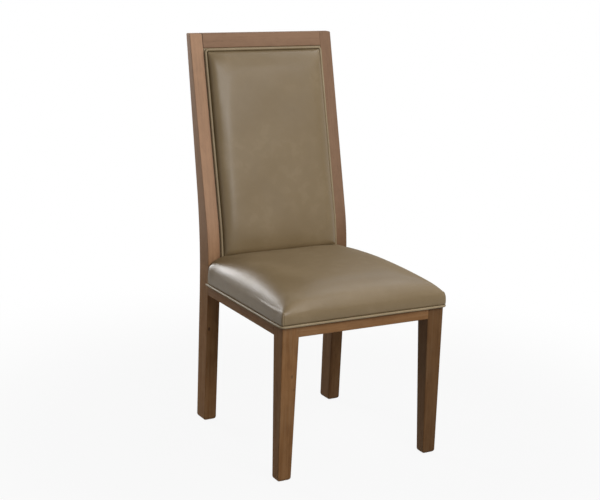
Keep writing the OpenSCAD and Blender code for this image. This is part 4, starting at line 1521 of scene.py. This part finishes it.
@dataclass
class BackPad(FramePanel):
    """The leather pad in the back frame, on the bend of the posts, with its piping."""

    welt_r: float = 0.0034
    steps: tuple[int, int] = (62, 92)
    board_set: float = 0.004
    board_gap: float = 0.0009
    base_inset: float = 0.0004
    wall: float = 0.0125
    wall_shares: tuple[float, ...] = (0.15, 0.4, 0.7, 1.0)
    wall_freedom: Span = (0.6, 0.3)
    rise: float = 0.0215
    power: float = 13.0
    long_power: float = 14.0
    ease: float = 0.6
    proud: float = 0.0048
    seam_set: float = 0.45
    touch: float = 0.482
    roll_h: float = 0.018
    roll_d: float = 0.010
    held_below: Span = (0.470, 0.520)
    unevenness: float = 0.0010
    edge_pull: float = 0.0003
    edge_near: Span = (0.004, 0.030)
    swell: Swell = field(default_factory=lambda: Swell(pressure=4.0, cap=0.002))

    def depth(self, x: np.ndarray, z: np.ndarray) -> np.ndarray:
        """Depth of the pad's face behind the front of the frame, negative where it stands proud.

        Args:
            x: Places from side to side.
            z: Heights.

        Returns:
            The depths.
        """
        half_x, half_z = self.half
        u = np.clip(np.abs(x) / half_x, 0, 1)
        v = np.clip(np.abs(z - self.middle) / half_z, 0, 1)
        full = (1 - u**self.power) ** self.ease * (1 - v**self.long_power) ** self.ease
        pressed = np.clip((self.touch + self.roll_h - z) / self.roll_h, 0, 1)
        roll = self.roll_d * (1 - np.sqrt(1 - pressed**2)) * full
        return self.board_set - self.wall - self.rise * full + roll

    def build(self) -> tuple[bpy.types.Object, np.ndarray, Swell]:
        """Makes the pad, ready to be blown up.

        Returns:
            The object, the freedom of its vertices and its swell settings.
        """
        size = self.size
        x, z = self.grid(0.0)
        foot = self.board_set - self.board_gap
        face = np.stack([x, size.post_front(z) + self.depth(x, z), z], -1)
        rim = rim_of(face)
        bottom = size.post_front(rim[:, 2]) + foot
        walls = []
        for share in self.wall_shares:
            y = rim[:, 1] + (bottom - rim[:, 1]) * share
            walls.append(np.column_stack([rim[:, 0], y, rim[:, 2]]))
        x, z = self.grid(self.base_inset)
        base = np.stack([x, size.post_front(z) + foot, z], -1)
        obj = Pillow(face, walls, base).mesh("back_pad", size)
        free = np.zeros(len(obj.data.vertices))
        count = face.shape[0] * face.shape[1]
        free[:count] = 1
        for freedom in self.wall_freedom:
            free[count : count + len(rim)] = freedom
            count += len(rim)
        free *= smooth_step(vertex_rows(obj.data)[:, 2], *self.held_below)
        return obj, free, self.swell

    def sculpt(self, obj: bpy.types.Object) -> None:
        """Works a little unevenness into the blown-up leather.

        Args:
            obj: The pad.
        """
        points, outward = vertex_rows(obj.data), vertex_rows(obj.data, "normal")
        x, z = points[:, 0], points[:, 2]
        face = smooth_step(-outward[:, 1], 0.55, 0.95)
        uneven = waves(x, (0.21, 0.14), 0.3) * waves(z + 0.3 * x, (0.33, 0.21, 0.17), 1.1)
        edge = 1 - smooth_step(self.half[0] - np.abs(x), *self.edge_near)
        pull = waves(z, (0.052, 0.037, 0.083), 0.4) * edge
        shift = face * (uneven * self.unevenness + pull * self.edge_pull)
        move_to(obj.data, points + outward * shift[:, None])

    def front(self, z: np.ndarray) -> np.ndarray:
        """Depth of the piping's middle at a height."""
        return self.size.post_front(z) + self.board_set - self.welt_r - self.gap - self.proud

    def welt(self) -> bpy.types.Object:
        """Makes the piping in the corner between the pad and the frame."""
        return self.piping("back_piping", self.front)

    def tape(self) -> bpy.types.Object:
        """Makes the seam edge behind the piping."""
        back = self.welt_r + 0.4 * self.gap + self.seam_set * self.proud
        return self.seam("back_piping_tape", lambda z: self.front(z) + back)


@dataclass
class OutsideBack(FramePanel):
    """The leather panel and piping between the rear faces of the posts."""

    welt_r: float = 0.0022
    steps: tuple[int, int] = (30, 64)
    set_back: float = 0.002
    leather: float = 0.0015
    rise: float = 0.0012
    powers: tuple[int, int] = (6, 12)
    ease: float = 0.7
    unevenness: float = 0.0004

    @property
    def foot(self) -> float:
        """Depth of the hardboard behind the rear faces of the posts."""
        return self.set_back + self.leather + self.rise

    def build(self) -> bpy.types.Object:
        """Makes the leather panel.

        Returns:
            The panel.
        """
        half_x, half_z = self.half
        x, z = self.grid(0.0, way=-1)
        h = z - self.middle
        full = (1 - (np.abs(x) / half_x) ** self.powers[0]) ** self.ease
        full *= (1 - np.clip(np.abs(h) / half_z, 0, 1) ** self.powers[1]) ** self.ease
        uneven = waves(x + 0.2 * h, (0.17, 0.29), 0.8) * waves(h, (0.21, 0.37), 2.4)
        surface = self.size.post_rear(z) - self.foot
        lift = self.leather + self.gap + (self.rise + uneven * self.unevenness) * full
        face = np.stack([x, surface + lift, z], -1)
        base = np.stack([x, surface + self.gap, z], -1)
        rim, low = rim_of(face), rim_of(base)
        return Pillow(face, [(rim + low) / 2, low], base).mesh("outside_leather", self.size)

    def front(self, z: np.ndarray) -> np.ndarray:
        """Depth of the hardboard's rear face at a height."""
        return self.size.post_rear(z) - self.foot

    def welt(self) -> bpy.types.Object:
        """Makes the piping round the panel."""
        back = self.welt_r + self.gap
        return self.piping("outside_piping", lambda z: self.front(z) + back)

    def tape(self) -> bpy.types.Object:
        """Makes the seam edge in front of the piping, on the hardboard."""
        return self.seam("outside_piping_tape", lambda z: self.front(z) + 0.2 * self.gap)


# Underside


@dataclass
class DustCover:
    """The black cloth tacked under the seat board, with its staples."""

    size: ChairSize
    front: float = 0.022
    rear: float = 0.4815
    front_half: float = 0.136
    rear_half: float = 0.127
    side_from: float = 0.106
    side_to: float = 0.396
    side_slope: float = 0.0466
    side_gap: float = 0.002
    half: Span = (0.21, 0.23)
    middle: float = 0.252
    cuts_x: tuple[float, float, int] = (-0.21, 0.21, 36)
    cuts_y: tuple[float, float, int] = (0.03, 0.475, 38)
    level_gap: float = 0.0004
    sag: float = 0.0022
    wrinkle: float = 0.35
    thickness: float = 0.0003
    staple: float = 0.009
    staple_half_w: float = 0.00055
    staple_t: float = 0.0005
    staple_gap: float = 0.0002
    staple_spacing: float = 0.042
    staple_inset: float = 0.007
    staple_tilt: float = 0.25

    def outline(self) -> np.ndarray:
        """Returns the cloth's cut, clockwise seen from below."""
        size = self.size
        clear = size.rail_t / math.cos(math.atan(self.side_slope)) + self.side_gap
        wide_front = float(size.half_w(self.side_from)) - clear
        wide_rear = float(size.half_w(self.side_to)) - clear
        half = [
            (self.front_half, self.front),
            (wide_front, self.side_from),
            (wide_rear, self.side_to),
            (self.rear_half, self.rear),
        ]
        return np.array(half + [(-x, y) for x, y in reversed(half)])

    def level(self, x: np.ndarray, y: np.ndarray) -> np.ndarray:
        """Works out the height of the cloth, which sags between its edges.

        Args:
            x: Places from side to side.
            y: Places front to back.

        Returns:
            The heights.
        """
        u = np.clip(np.abs(x) / self.half[0], 0, 1)
        v = np.clip(np.abs(y - self.middle) / self.half[1], 0, 1)
        slack = (1 - u**4) * (1 - v**4) * self.sag
        wrinkle = waves(x + 0.5 * y, (0.11, 0.067), 0.2) * waves(y - 0.2 * x, (0.09, 0.14), 1.0)
        edge = self.size.seat_z(y) + self.size.rail_h - self.level_gap
        return edge - slack * (1 + self.wrinkle * wrinkle)

    def build(self) -> bpy.types.Object:
        """Makes the cloth as one thin sheet.

        Returns:
            The cloth.
        """
        mesh = bmesh.new()
        mesh.faces.new([mesh.verts.new((x, y, 0)) for x, y in self.outline()])
        for normal, cuts in ((Vector((1, 0, 0)), self.cuts_x), (Vector((0, 1, 0)), self.cuts_y)):
            for value in np.linspace(*cuts):
                geometry = mesh.verts[:] + mesh.edges[:] + mesh.faces[:]
                spot = normal * float(value)
                bmesh.ops.bisect_plane(mesh, geom=geometry, plane_co=spot, plane_no=normal)
        points = np.array([v.co for v in mesh.verts])
        points[:, 2] = self.level(points[:, 0], points[:, 1])
        mesh.verts.index_update()
        faces = [tuple(v.index for v in f.verts) for f in mesh.faces]
        mesh.free()
        obj = new_object("dust_cloth", self.size.place(points), faces)
        thick = obj.modifiers.new("thickness", "SOLIDIFY")
        thick.thickness = self.thickness
        thick.offset = 0
        bake(obj)
        shade_smooth(obj.data)
        return obj

    def staples(self) -> bpy.types.Object:
        """Makes the staples round the cloth's edge.

        Returns:
            All the staples as one object.
        """
        outline = self.outline()
        points: list[np.ndarray] = []
        faces: list[tuple[int, ...]] = []
        for start, end in zip(outline, np.roll(outline, -1, 0)):
            way = (end - start) / np.linalg.norm(end - start)
            inward = np.array([-way[1], way[0]])
            count = max(2, round(np.linalg.norm(end - start) / self.staple_spacing))
            for k in range(count):
                tilt = self.staple_tilt * math.sin(5.1 * k + 11 * start[0] + 7 * start[1])
                spot = start + (end - start) * (k + 0.5) / count + inward * self.staple_inset
                run = way * math.cos(tilt) + inward * math.sin(tilt)
                self._staple(spot, run, points, faces)
        return new_object("dust_cloth_staples", self.size.place(np.array(points)), faces)

    def _staple(
        self,
        spot: np.ndarray,
        run: np.ndarray,
        points: list[np.ndarray],
        faces: list[tuple[int, ...]],
    ) -> None:
        """Adds one staple, its crown just below the cloth.

        Args:
            spot: Its middle in plan.
            run: The unit direction of its crown.
            points: The vertices so far, which it adds to.
            faces: The faces so far, which it adds to.
        """
        across = np.array([-run[1], run[0]]) * self.staple_half_w
        level = float(self.level(spot[:1], spot[1:])[0]) - self.staple_gap
        thick = -self.staple_t
        first = len(points)
        for share, drop in ((-0.5, 0.0), (-0.46, -0.0007), (0.46, -0.0007), (0.5, 0.0)):
            centre = spot + run * self.staple * share
            for side, lift in ((-1, 0.0), (1, 0.0), (1, thick), (-1, thick)):
                x, y = centre + across * side
                points.append(np.array([x, y, level + drop + lift]))
        for k in range(3):
            a, b = first + 4 * k, first + 4 * (k + 1)
            for i in range(4):
                j = (i + 1) % 4
                faces.append((a + i, b + i, b + j, a + j))
        faces.append((first, first + 1, first + 2, first + 3))
        last = first + 12
        faces.append((last + 3, last + 2, last + 1, last))


@dataclass(frozen=True)
class ScrewHeads:
    """Countersunk heads with a cross recess, made on the screws' own axes."""

    head_r: float = 0.004
    slot: float = 0.0007
    recess: float = 0.0018
    recess_r: float = 0.0025
    recess_fade: float = 0.0032
    shank_r: float = 0.0021
    point_r: float = 0.0007
    point_from: float = 0.96
    rim: Span = (0.0003, 0.0002)
    head_rings: tuple[float, ...] = (0.0, 0.0008, 0.0014, 0.0019, 0.0024, 0.0030)
    sides: int = 40
    same_place: float = 1e-6
    same_height: float = 1e-4

    def build(self, name: str, source: bpy.types.Object) -> bpy.types.Object:
        """Remakes a group of screws with recessed heads.

        Args:
            name: The new object's name.
            source: The plain screws.

        Returns:
            The detailed screws.
        """
        points: list[Vector] = []
        faces: list[tuple[int, ...]] = []
        for head, way, length in self._axes(source):
            self._screw(head, way, length, points, faces)
        return new_object(name, np.array(points), faces)

    def _axes(self, source: bpy.types.Object) -> list[tuple[Vector, Vector, float]]:
        """Finds each plain screw's axis from its vertices.

        Args:
            source: The plain screws.

        Returns:
            The middle of each head, the unit direction into the wood and the length, in order.
        """
        mesh = bmesh.new()
        mesh.from_mesh(source.data)
        bmesh.ops.remove_doubles(mesh, verts=mesh.verts[:], dist=self.same_place)
        left = set(mesh.verts)
        axes = []
        while left:
            stack = [left.pop()]
            island = []
            while stack:
                vert = stack.pop()
                island.append(vert.co.copy())
                for edge in vert.link_edges:
                    other = edge.other_vert(vert)
                    if other in left:
                        left.remove(other)
                        stack.append(other)
            cloud = np.array(island)
            centre = (cloud.min(0) + cloud.max(0)) / 2
            _, _, rows = np.linalg.svd(cloud - cloud.mean(0), full_matrices=False)
            way = rows[0]
            along = (cloud - centre) @ way
            radial = np.linalg.norm(cloud - centre - np.outer(along, way), axis=1)
            if along[radial.argmax()] > 0:
                way, along = -way, -along
            head_ring = cloud[np.abs(along - along.min()) < self.same_height]
            head = head_ring.mean(0) if len(head_ring) > 2 else centre + way * along.min()
            axes.append((Vector(head), Vector(way), float(along.max() - along.min())))
        mesh.free()
        axes.sort(key=lambda item: tuple(round(v, 4) for v in item[0]))
        return axes

    def _screw(
        self,
        head: Vector,
        way: Vector,
        length: float,
        points: list[Vector],
        faces: list[tuple[int, ...]],
    ) -> None:
        """Adds one screw as rings of vertices from the middle of its head to its point.

        Args:
            head: The middle of its head.
            way: The unit direction into the wood.
            length: Its length.
            points: The vertices so far, which it adds to.
            faces: The faces so far, which it adds to.
        """
        side = way.orthogonal().normalized()
        other = way.cross(side)
        count, rings = self.sides, []
        levels = [(radius, None) for radius in (*self.head_rings, self.head_r - self.rim[0])]
        levels += [(self.head_r, self.rim[1]), (self.shank_r, self.shank_r)]
        levels += [(self.shank_r, length * self.point_from), (self.point_r, length)]
        for radius, fixed in levels:
            ring = []
            for k in range(count):
                angle = 2 * math.pi * k / count
                u, v = radius * math.cos(angle), radius * math.sin(angle)
                down = fixed if fixed is not None else self._recess_depth(u, v)
                ring.append(len(points))
                points.append(head + side * u + other * v + way * down)
            rings.append(ring)
        for inner, outer in zip(rings, rings[1:]):
            for k in range(count):
                n = (k + 1) % count
                faces.append((inner[k], inner[n], outer[n], outer[k]))
        faces.append(tuple(rings[-1]))

    def _recess_depth(self, u: float, v: float) -> float:
        """Works out how deep the cross recess is at a place on the head.

        Args:
            u: The place along one arm of the cross.
            v: The place along the other.

        Returns:
            The depth, 0 outside the recess.
        """
        reach = math.hypot(u, v)
        if reach > self.recess_r or min(abs(u), abs(v)) > self.slot:
            return 0.0
        return self.recess * (1 - reach / self.recess_fade)


# Scene


@dataclass(frozen=True)
class PhotoCamera:
    """The camera that took the photo, as fitted to the chair's edges."""

    azimuth: float = math.radians(-30.201)
    elevation: float = math.radians(14.069)
    roll: float = math.radians(2.026)
    focal_px: float = 1395.051
    frame_px: int = 600
    sensor_mm: float = 36.0
    clip: Span = (0.05, 60.0)
    place: Triple = (-1.851946, -2.838732, 1.426458)

    def build(self, size: ChairSize) -> None:
        """Makes the camera and gives it to the scene.

        Args:
            size: The chair's sizes, for the shift into the shared frame.
        """
        a, e = self.azimuth, self.elevation
        look = Vector((-math.sin(a) * math.cos(e), math.cos(a) * math.cos(e), -math.sin(e)))
        level = look.cross(Vector((0, 0, 1))).normalized()
        upright = level.cross(look)
        right = math.cos(self.roll) * level + math.sin(self.roll) * upright
        up = math.cos(self.roll) * upright - math.sin(self.roll) * level
        data = bpy.data.cameras.new("photo_camera")
        data.sensor_width = self.sensor_mm
        data.lens = self.focal_px / self.frame_px * self.sensor_mm
        data.clip_start, data.clip_end = self.clip
        camera = bpy.data.objects.new("photo_camera", data)
        axes = Matrix((right, up, -look)).transposed().to_4x4()
        axes.translation = Vector(self.place) + Vector((0, size.shift, 0))
        camera.matrix_world = axes
        bpy.context.scene.collection.objects.link(camera)
        bpy.context.scene.camera = camera


@dataclass(frozen=True)
class SoftBox:
    """An oblong lamp that faces the chair from a direction in degrees."""

    name: str
    azimuth: float
    elevation: float
    distance: float
    size: Span
    glow: float
    aim: Triple = (0.0, 0.0, 0.55)

    def build(self) -> None:
        """Makes the lamp. Azimuth 0 stands in front of the chair and 90 on its right."""
        data = bpy.data.lights.new(self.name, "AREA")
        data.shape = "RECTANGLE"
        data.size, data.size_y = self.size
        data.energy = self.glow * math.pi * self.size[0] * self.size[1]
        lamp = bpy.data.objects.new(self.name, data)
        a, e = math.radians(self.azimuth), math.radians(self.elevation)
        way = Vector((math.sin(a) * math.cos(e), -math.cos(a) * math.cos(e), math.sin(e)))
        lamp.location = Vector(self.aim) + way * self.distance
        lamp.rotation_mode = "QUATERNION"
        lamp.rotation_quaternion = way.to_track_quat("Z", "Y")
        lamp.visible_camera = False
        bpy.context.scene.collection.objects.link(lamp)


@dataclass(frozen=True)
class Studio:
    """A pale floor, a white surround and soft lamps."""

    ambient: float = 0.08
    surround: Colour = (0.97, 0.98, 1.0)
    floor: Colour = (0.36, 0.36, 0.36)
    white: Colour = (1.0, 1.0, 1.0)
    veil: float = 0.92
    fade: Span = (0.6, 1.6)
    reach: float = 14.0
    roughness: float = 0.9
    gloss: float = 0.1
    lamps: tuple[SoftBox, ...] = (
        SoftBox("key", 1, 31, 2.3, (1.5, 1.2), 6.5),
        SoftBox("fill", 44, 42, 2.0, (0.75, 0.7), 2.6),
        SoftBox("rim", 199, 17, 2.6, (0.9, 1.0), 11.5),
        SoftBox("overhead", 92, 54, 2.5, (1.9, 1.0), 2.3),
    )

    def build(self) -> None:
        """Makes the floor, the surround and the lamps."""
        for lamp in self.lamps:
            lamp.build()
        self._world()
        self._floor()

    @staticmethod
    def _seen(graph: Graph) -> Signal:
        """Returns 1 for rays that show the background: straight, mirrored or through glass."""
        rays = [
            graph.add("ShaderNodeLightPath", output=f"Is {kind} Ray")
            for kind in ("Camera", "Glossy", "Transmission")
        ]
        return rays[0].upper(rays[1]).upper(rays[2])

    def _world(self) -> None:
        """Makes the surround: a weak light on the chair, and white where it is seen."""
        world = bpy.data.worlds.new("surround")
        world.use_nodes = True
        graph = Graph.of_tree(world.node_tree)
        lit = graph.add(
            "ShaderNodeBackground", {}, {"Color": self.surround, "Strength": self.ambient}
        )
        white = graph.add("ShaderNodeBackground", {}, {"Color": self.white})
        sockets = {0: self._seen(graph), 1: lit, 2: white}
        graph.add_output(graph.add("ShaderNodeMixShader", {}, sockets), "World")
        bpy.context.scene.world = world

    def _floor(self) -> None:
        """Makes the floor, which keeps a faint shadow and fades to white far out."""
        corners = np.array([(-1, -1, 0), (1, -1, 0), (1, 1, 0), (-1, 1, 0)]) * self.reach
        floor = new_object("studio_floor", corners, [(0, 1, 2, 3)])
        graph = Graph("pale_floor")
        place = graph.place()
        tone = graph.vector(*self.floor) * (0.99 + graph.noise(place, 1.5, 2) * 0.02)
        matt = graph.add(
            "ShaderNodeBsdfPrincipled",
            {},
            {
                "Base Color": tone,
                "Roughness": self.roughness,
                "Specular IOR Level": self.gloss,
            },
        )
        white = graph.add("ShaderNodeEmission", {}, {"Color": self.white})
        far = place.length().ramp(*self.fade)
        share = self._seen(graph) * (self.veil + far * (1 - self.veil))
        graph.add_output(graph.add("ShaderNodeMixShader", {}, {0: share, 1: matt, 2: white}))
        wear(floor, graph.material)


HEAD_JOINT = Joint(across=-0.184, above=1.028)
WOOD = {
    Grain.UPRIGHT: WoodFinish(
        "wood_upright",
        Grain.UPRIGHT,
        # Painted light and shade: the members on the +x side much darker, the rear posts lighter,
        # the posts above the seat a little darker.
        boards=(BoardAndLightTone(0, 0.0, 0.57), BoardAndLightTone(1, -0.1, 1.22), BoardAndLightTone(2, 0.45, 0.90)),
        knots=(
            Knot((-0.2098, -0.3047, 0.2793), 0.0036, 0.45),
            Knot((-0.2027, -0.3047, 0.2442), 0.0028, 0.35),
            Knot((-0.2146, 0.1530, 0.2729), 0.0040, 0.7),
        ),
        joints=(HEAD_JOINT,),
    ),
    Grain.ACROSS: WoodFinish(
        "wood_across",
        Grain.ACROSS,
        # Painted shade: the top rail, above 0.7 m, darker.
        boards=(BoardAndLightTone(2, 0.7, 0.71),),
        joints=(HEAD_JOINT,),
    ),
    Grain.DEEP: WoodFinish("wood_deep", Grain.DEEP),
}

LEATHER = {
    "leather": LeatherFinish("leather"),
    # A paler copy of the cover leather for the piping: a painted highlight along the cords.
    "welt_leather": LeatherFinish(
        "welt_leather",
        base=srgb(152, 134, 104),
        deep=srgb(140, 122, 92),
        pale=srgb(164, 148, 120),
        pebble_mm=1.0,
        roughness=0.42,
        crease=0.1,
    ),
}

PLAIN = {
    "inner_wood": PlainFinish(
        "unfinished_wood", srgb(196, 166, 124), srgb(172, 138, 96), (30, 300, 300), 0.62
    ),
    "plywood": PlainFinish(
        "plywood_faces", srgb(200, 172, 130), srgb(180, 148, 106), (16, 260, 900), 0.66
    ),
    "screw_steel": PlainFinish(
        "zinc_steel", srgb(176, 176, 172), srgb(142, 142, 140), (900, 900, 900), 0.32, 1.0, 0.02
    ),
    "glide_plastic": PlainFinish(
        "glide_plastic", srgb(66, 60, 54), srgb(52, 47, 42), (700, 700, 700), 0.5, 0.0, 0.03
    ),
    "dust_cloth": PlainFinish(
        "dust_cloth", srgb(26, 26, 28), srgb(40, 40, 42), (1400, 1400, 1400), 0.9, 0.0, 0.12
    ),
    "card": PlainFinish("tack_card", srgb(168, 144, 108), srgb(150, 126, 92), (500, 500, 500), 0.8),
}

UPRIGHTS = ("rear_post_left", "rear_post_right", "front_leg_left", "front_leg_right")
CROSS_RAILS = ("front_apron", "rear_apron", "top_rail", "lower_back_rail")
SIDE_RAILS = ("side_apron_left", "side_apron_right")
SCREWS = {
    "block_screws": "corner_block_screws",
    "seat_screws": "seat_fixing_screws",
    "batten_screws": "batten_fixing_screws",
    "pad_screws": "pad_fixing_screws",
}


class Chair:
    """Dresses the frame: finishes its wood and replaces its soft pieces."""

    def __init__(self, nodes: Mapping[str, bpy.types.Object], slots: Mapping[str, str]) -> None:
        """Reads the frame.

        Args:
            nodes: The frame's pieces by name.
            slots: The material slot of each piece.
        """
        self.nodes = nodes
        self.slots = slots
        self.size = ChairSize(shift=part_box("front_leg_left")[0].y)
        finishes = {**LEATHER, **PLAIN}
        self.materials = {slot: finish.build() for slot, finish in finishes.items()}

    def adopt(self, obj: bpy.types.Object, slot: str, *replaced: str) -> bpy.types.Object:
        """Finishes a new piece and ties it to the frame.

        Args:
            obj: The piece.
            slot: The record's slot that it takes its finish from.
            *replaced: The frame's pieces that it stands for.

        Returns:
            The piece.
        """
        wear(obj, self.materials[slot])
        if replaced:
            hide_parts(*replaced)
        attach(obj, BODY)
        log.info("%s: %d faces for %s", obj.name, len(obj.data.polygons), replaced or "itself")
        return obj

    def finish_wood(self) -> None:
        """Gives every wooden member its grain, and its eased edges a smooth light."""
        woods = {grain: finish.build(self.size) for grain, finish in WOOD.items()}
        groups = ((UPRIGHTS, Grain.UPRIGHT), (CROSS_RAILS, Grain.ACROSS), (SIDE_RAILS, Grain.DEEP))
        for names, grain in groups:
            for name in names:
                wear(self.nodes[name], woods[grain])
                self._smooth(self.nodes[name])
                log.info("%s: grain %s", name, grain.name.lower())

    def finish_plain(self) -> None:
        """Finishes the boards, blocks, glides and other hard pieces."""
        for name, obj in self.nodes.items():
            slot = self.slots[name]
            if slot in PLAIN:
                wear(obj, self.materials[slot])
                log.info("%s: %s", name, slot)

    @staticmethod
    def _smooth(obj: bpy.types.Object) -> None:
        """Shades a member smoothly, its large faces kept flat.

        Args:
            obj: The member.
        """
        shade_smooth(obj.data)
        weld = obj.modifiers.new("weld", "WELD")
        weld.merge_threshold = SAME_POINT
        light = obj.modifiers.new("light", "WEIGHTED_NORMAL")
        light.mode = "FACE_AREA"
        light.weight = 100
        light.keep_sharp = False

    def upholster(self) -> None:
        """Makes the seat, the back pad, the outside back and their piping."""
        pad = BackPad(self.size)
        seat = SeatCushion(self.size, pad_depth=pad.depth)
        (cushion, *_), (cover, *_) = parts = seat.build(), pad.build()
        run_swell(parts)
        seat.soften(cushion)
        for maker, obj in ((seat, cushion), (pad, cover)):
            subdivide(obj)
            maker.sculpt(obj)
        self.adopt(cushion, "leather", "seat_cover", "seat_foam", "seat_wadding")
        self.adopt(cover, "leather", "back_cover", "back_foam")
        self.adopt(seat.welt(), "welt_leather", "seat_welt")
        self.adopt(pad.welt(), "welt_leather", "back_welt")
        self.adopt(pad.tape(), "welt_leather")
        outside = OutsideBack(self.size)
        panel = self.adopt(outside.build(), "leather", "outside_cover")
        self.adopt(outside.welt(), "welt_leather", "outside_welt")
        self.adopt(outside.tape(), "welt_leather")

    def close_underside(self) -> None:
        """Makes the dust cloth with its staples, and the screws with their recesses."""
        dust = DustCover(self.size)
        cloth = self.adopt(dust.build(), "dust_cloth", "dust_cover")
        x, y = dust.outline().T
        self.adopt(dust.staples(), "screw_steel")
        heads = ScrewHeads()
        for node, name in SCREWS.items():
            self.adopt(heads.build(name, self.nodes[node]), "screw_steel", node)


def main() -> None:
    """Builds the scene in order."""
    logging.basicConfig(level=logging.INFO, format="%(name)s: %(message)s")
    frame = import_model()
    bpy.context.scene.view_settings.view_transform = "Standard"
    slots = {part["node"]: part["material_slot"] for part in frame["record"]["subparts"]}
    chair = Chair(frame["nodes"], slots)
    PhotoCamera().build(chair.size)
    Studio().build()
    chair.finish_wood()
    chair.finish_plain()
    chair.upholster()
    chair.close_underside()


if __name__ == "__main__":
    main()
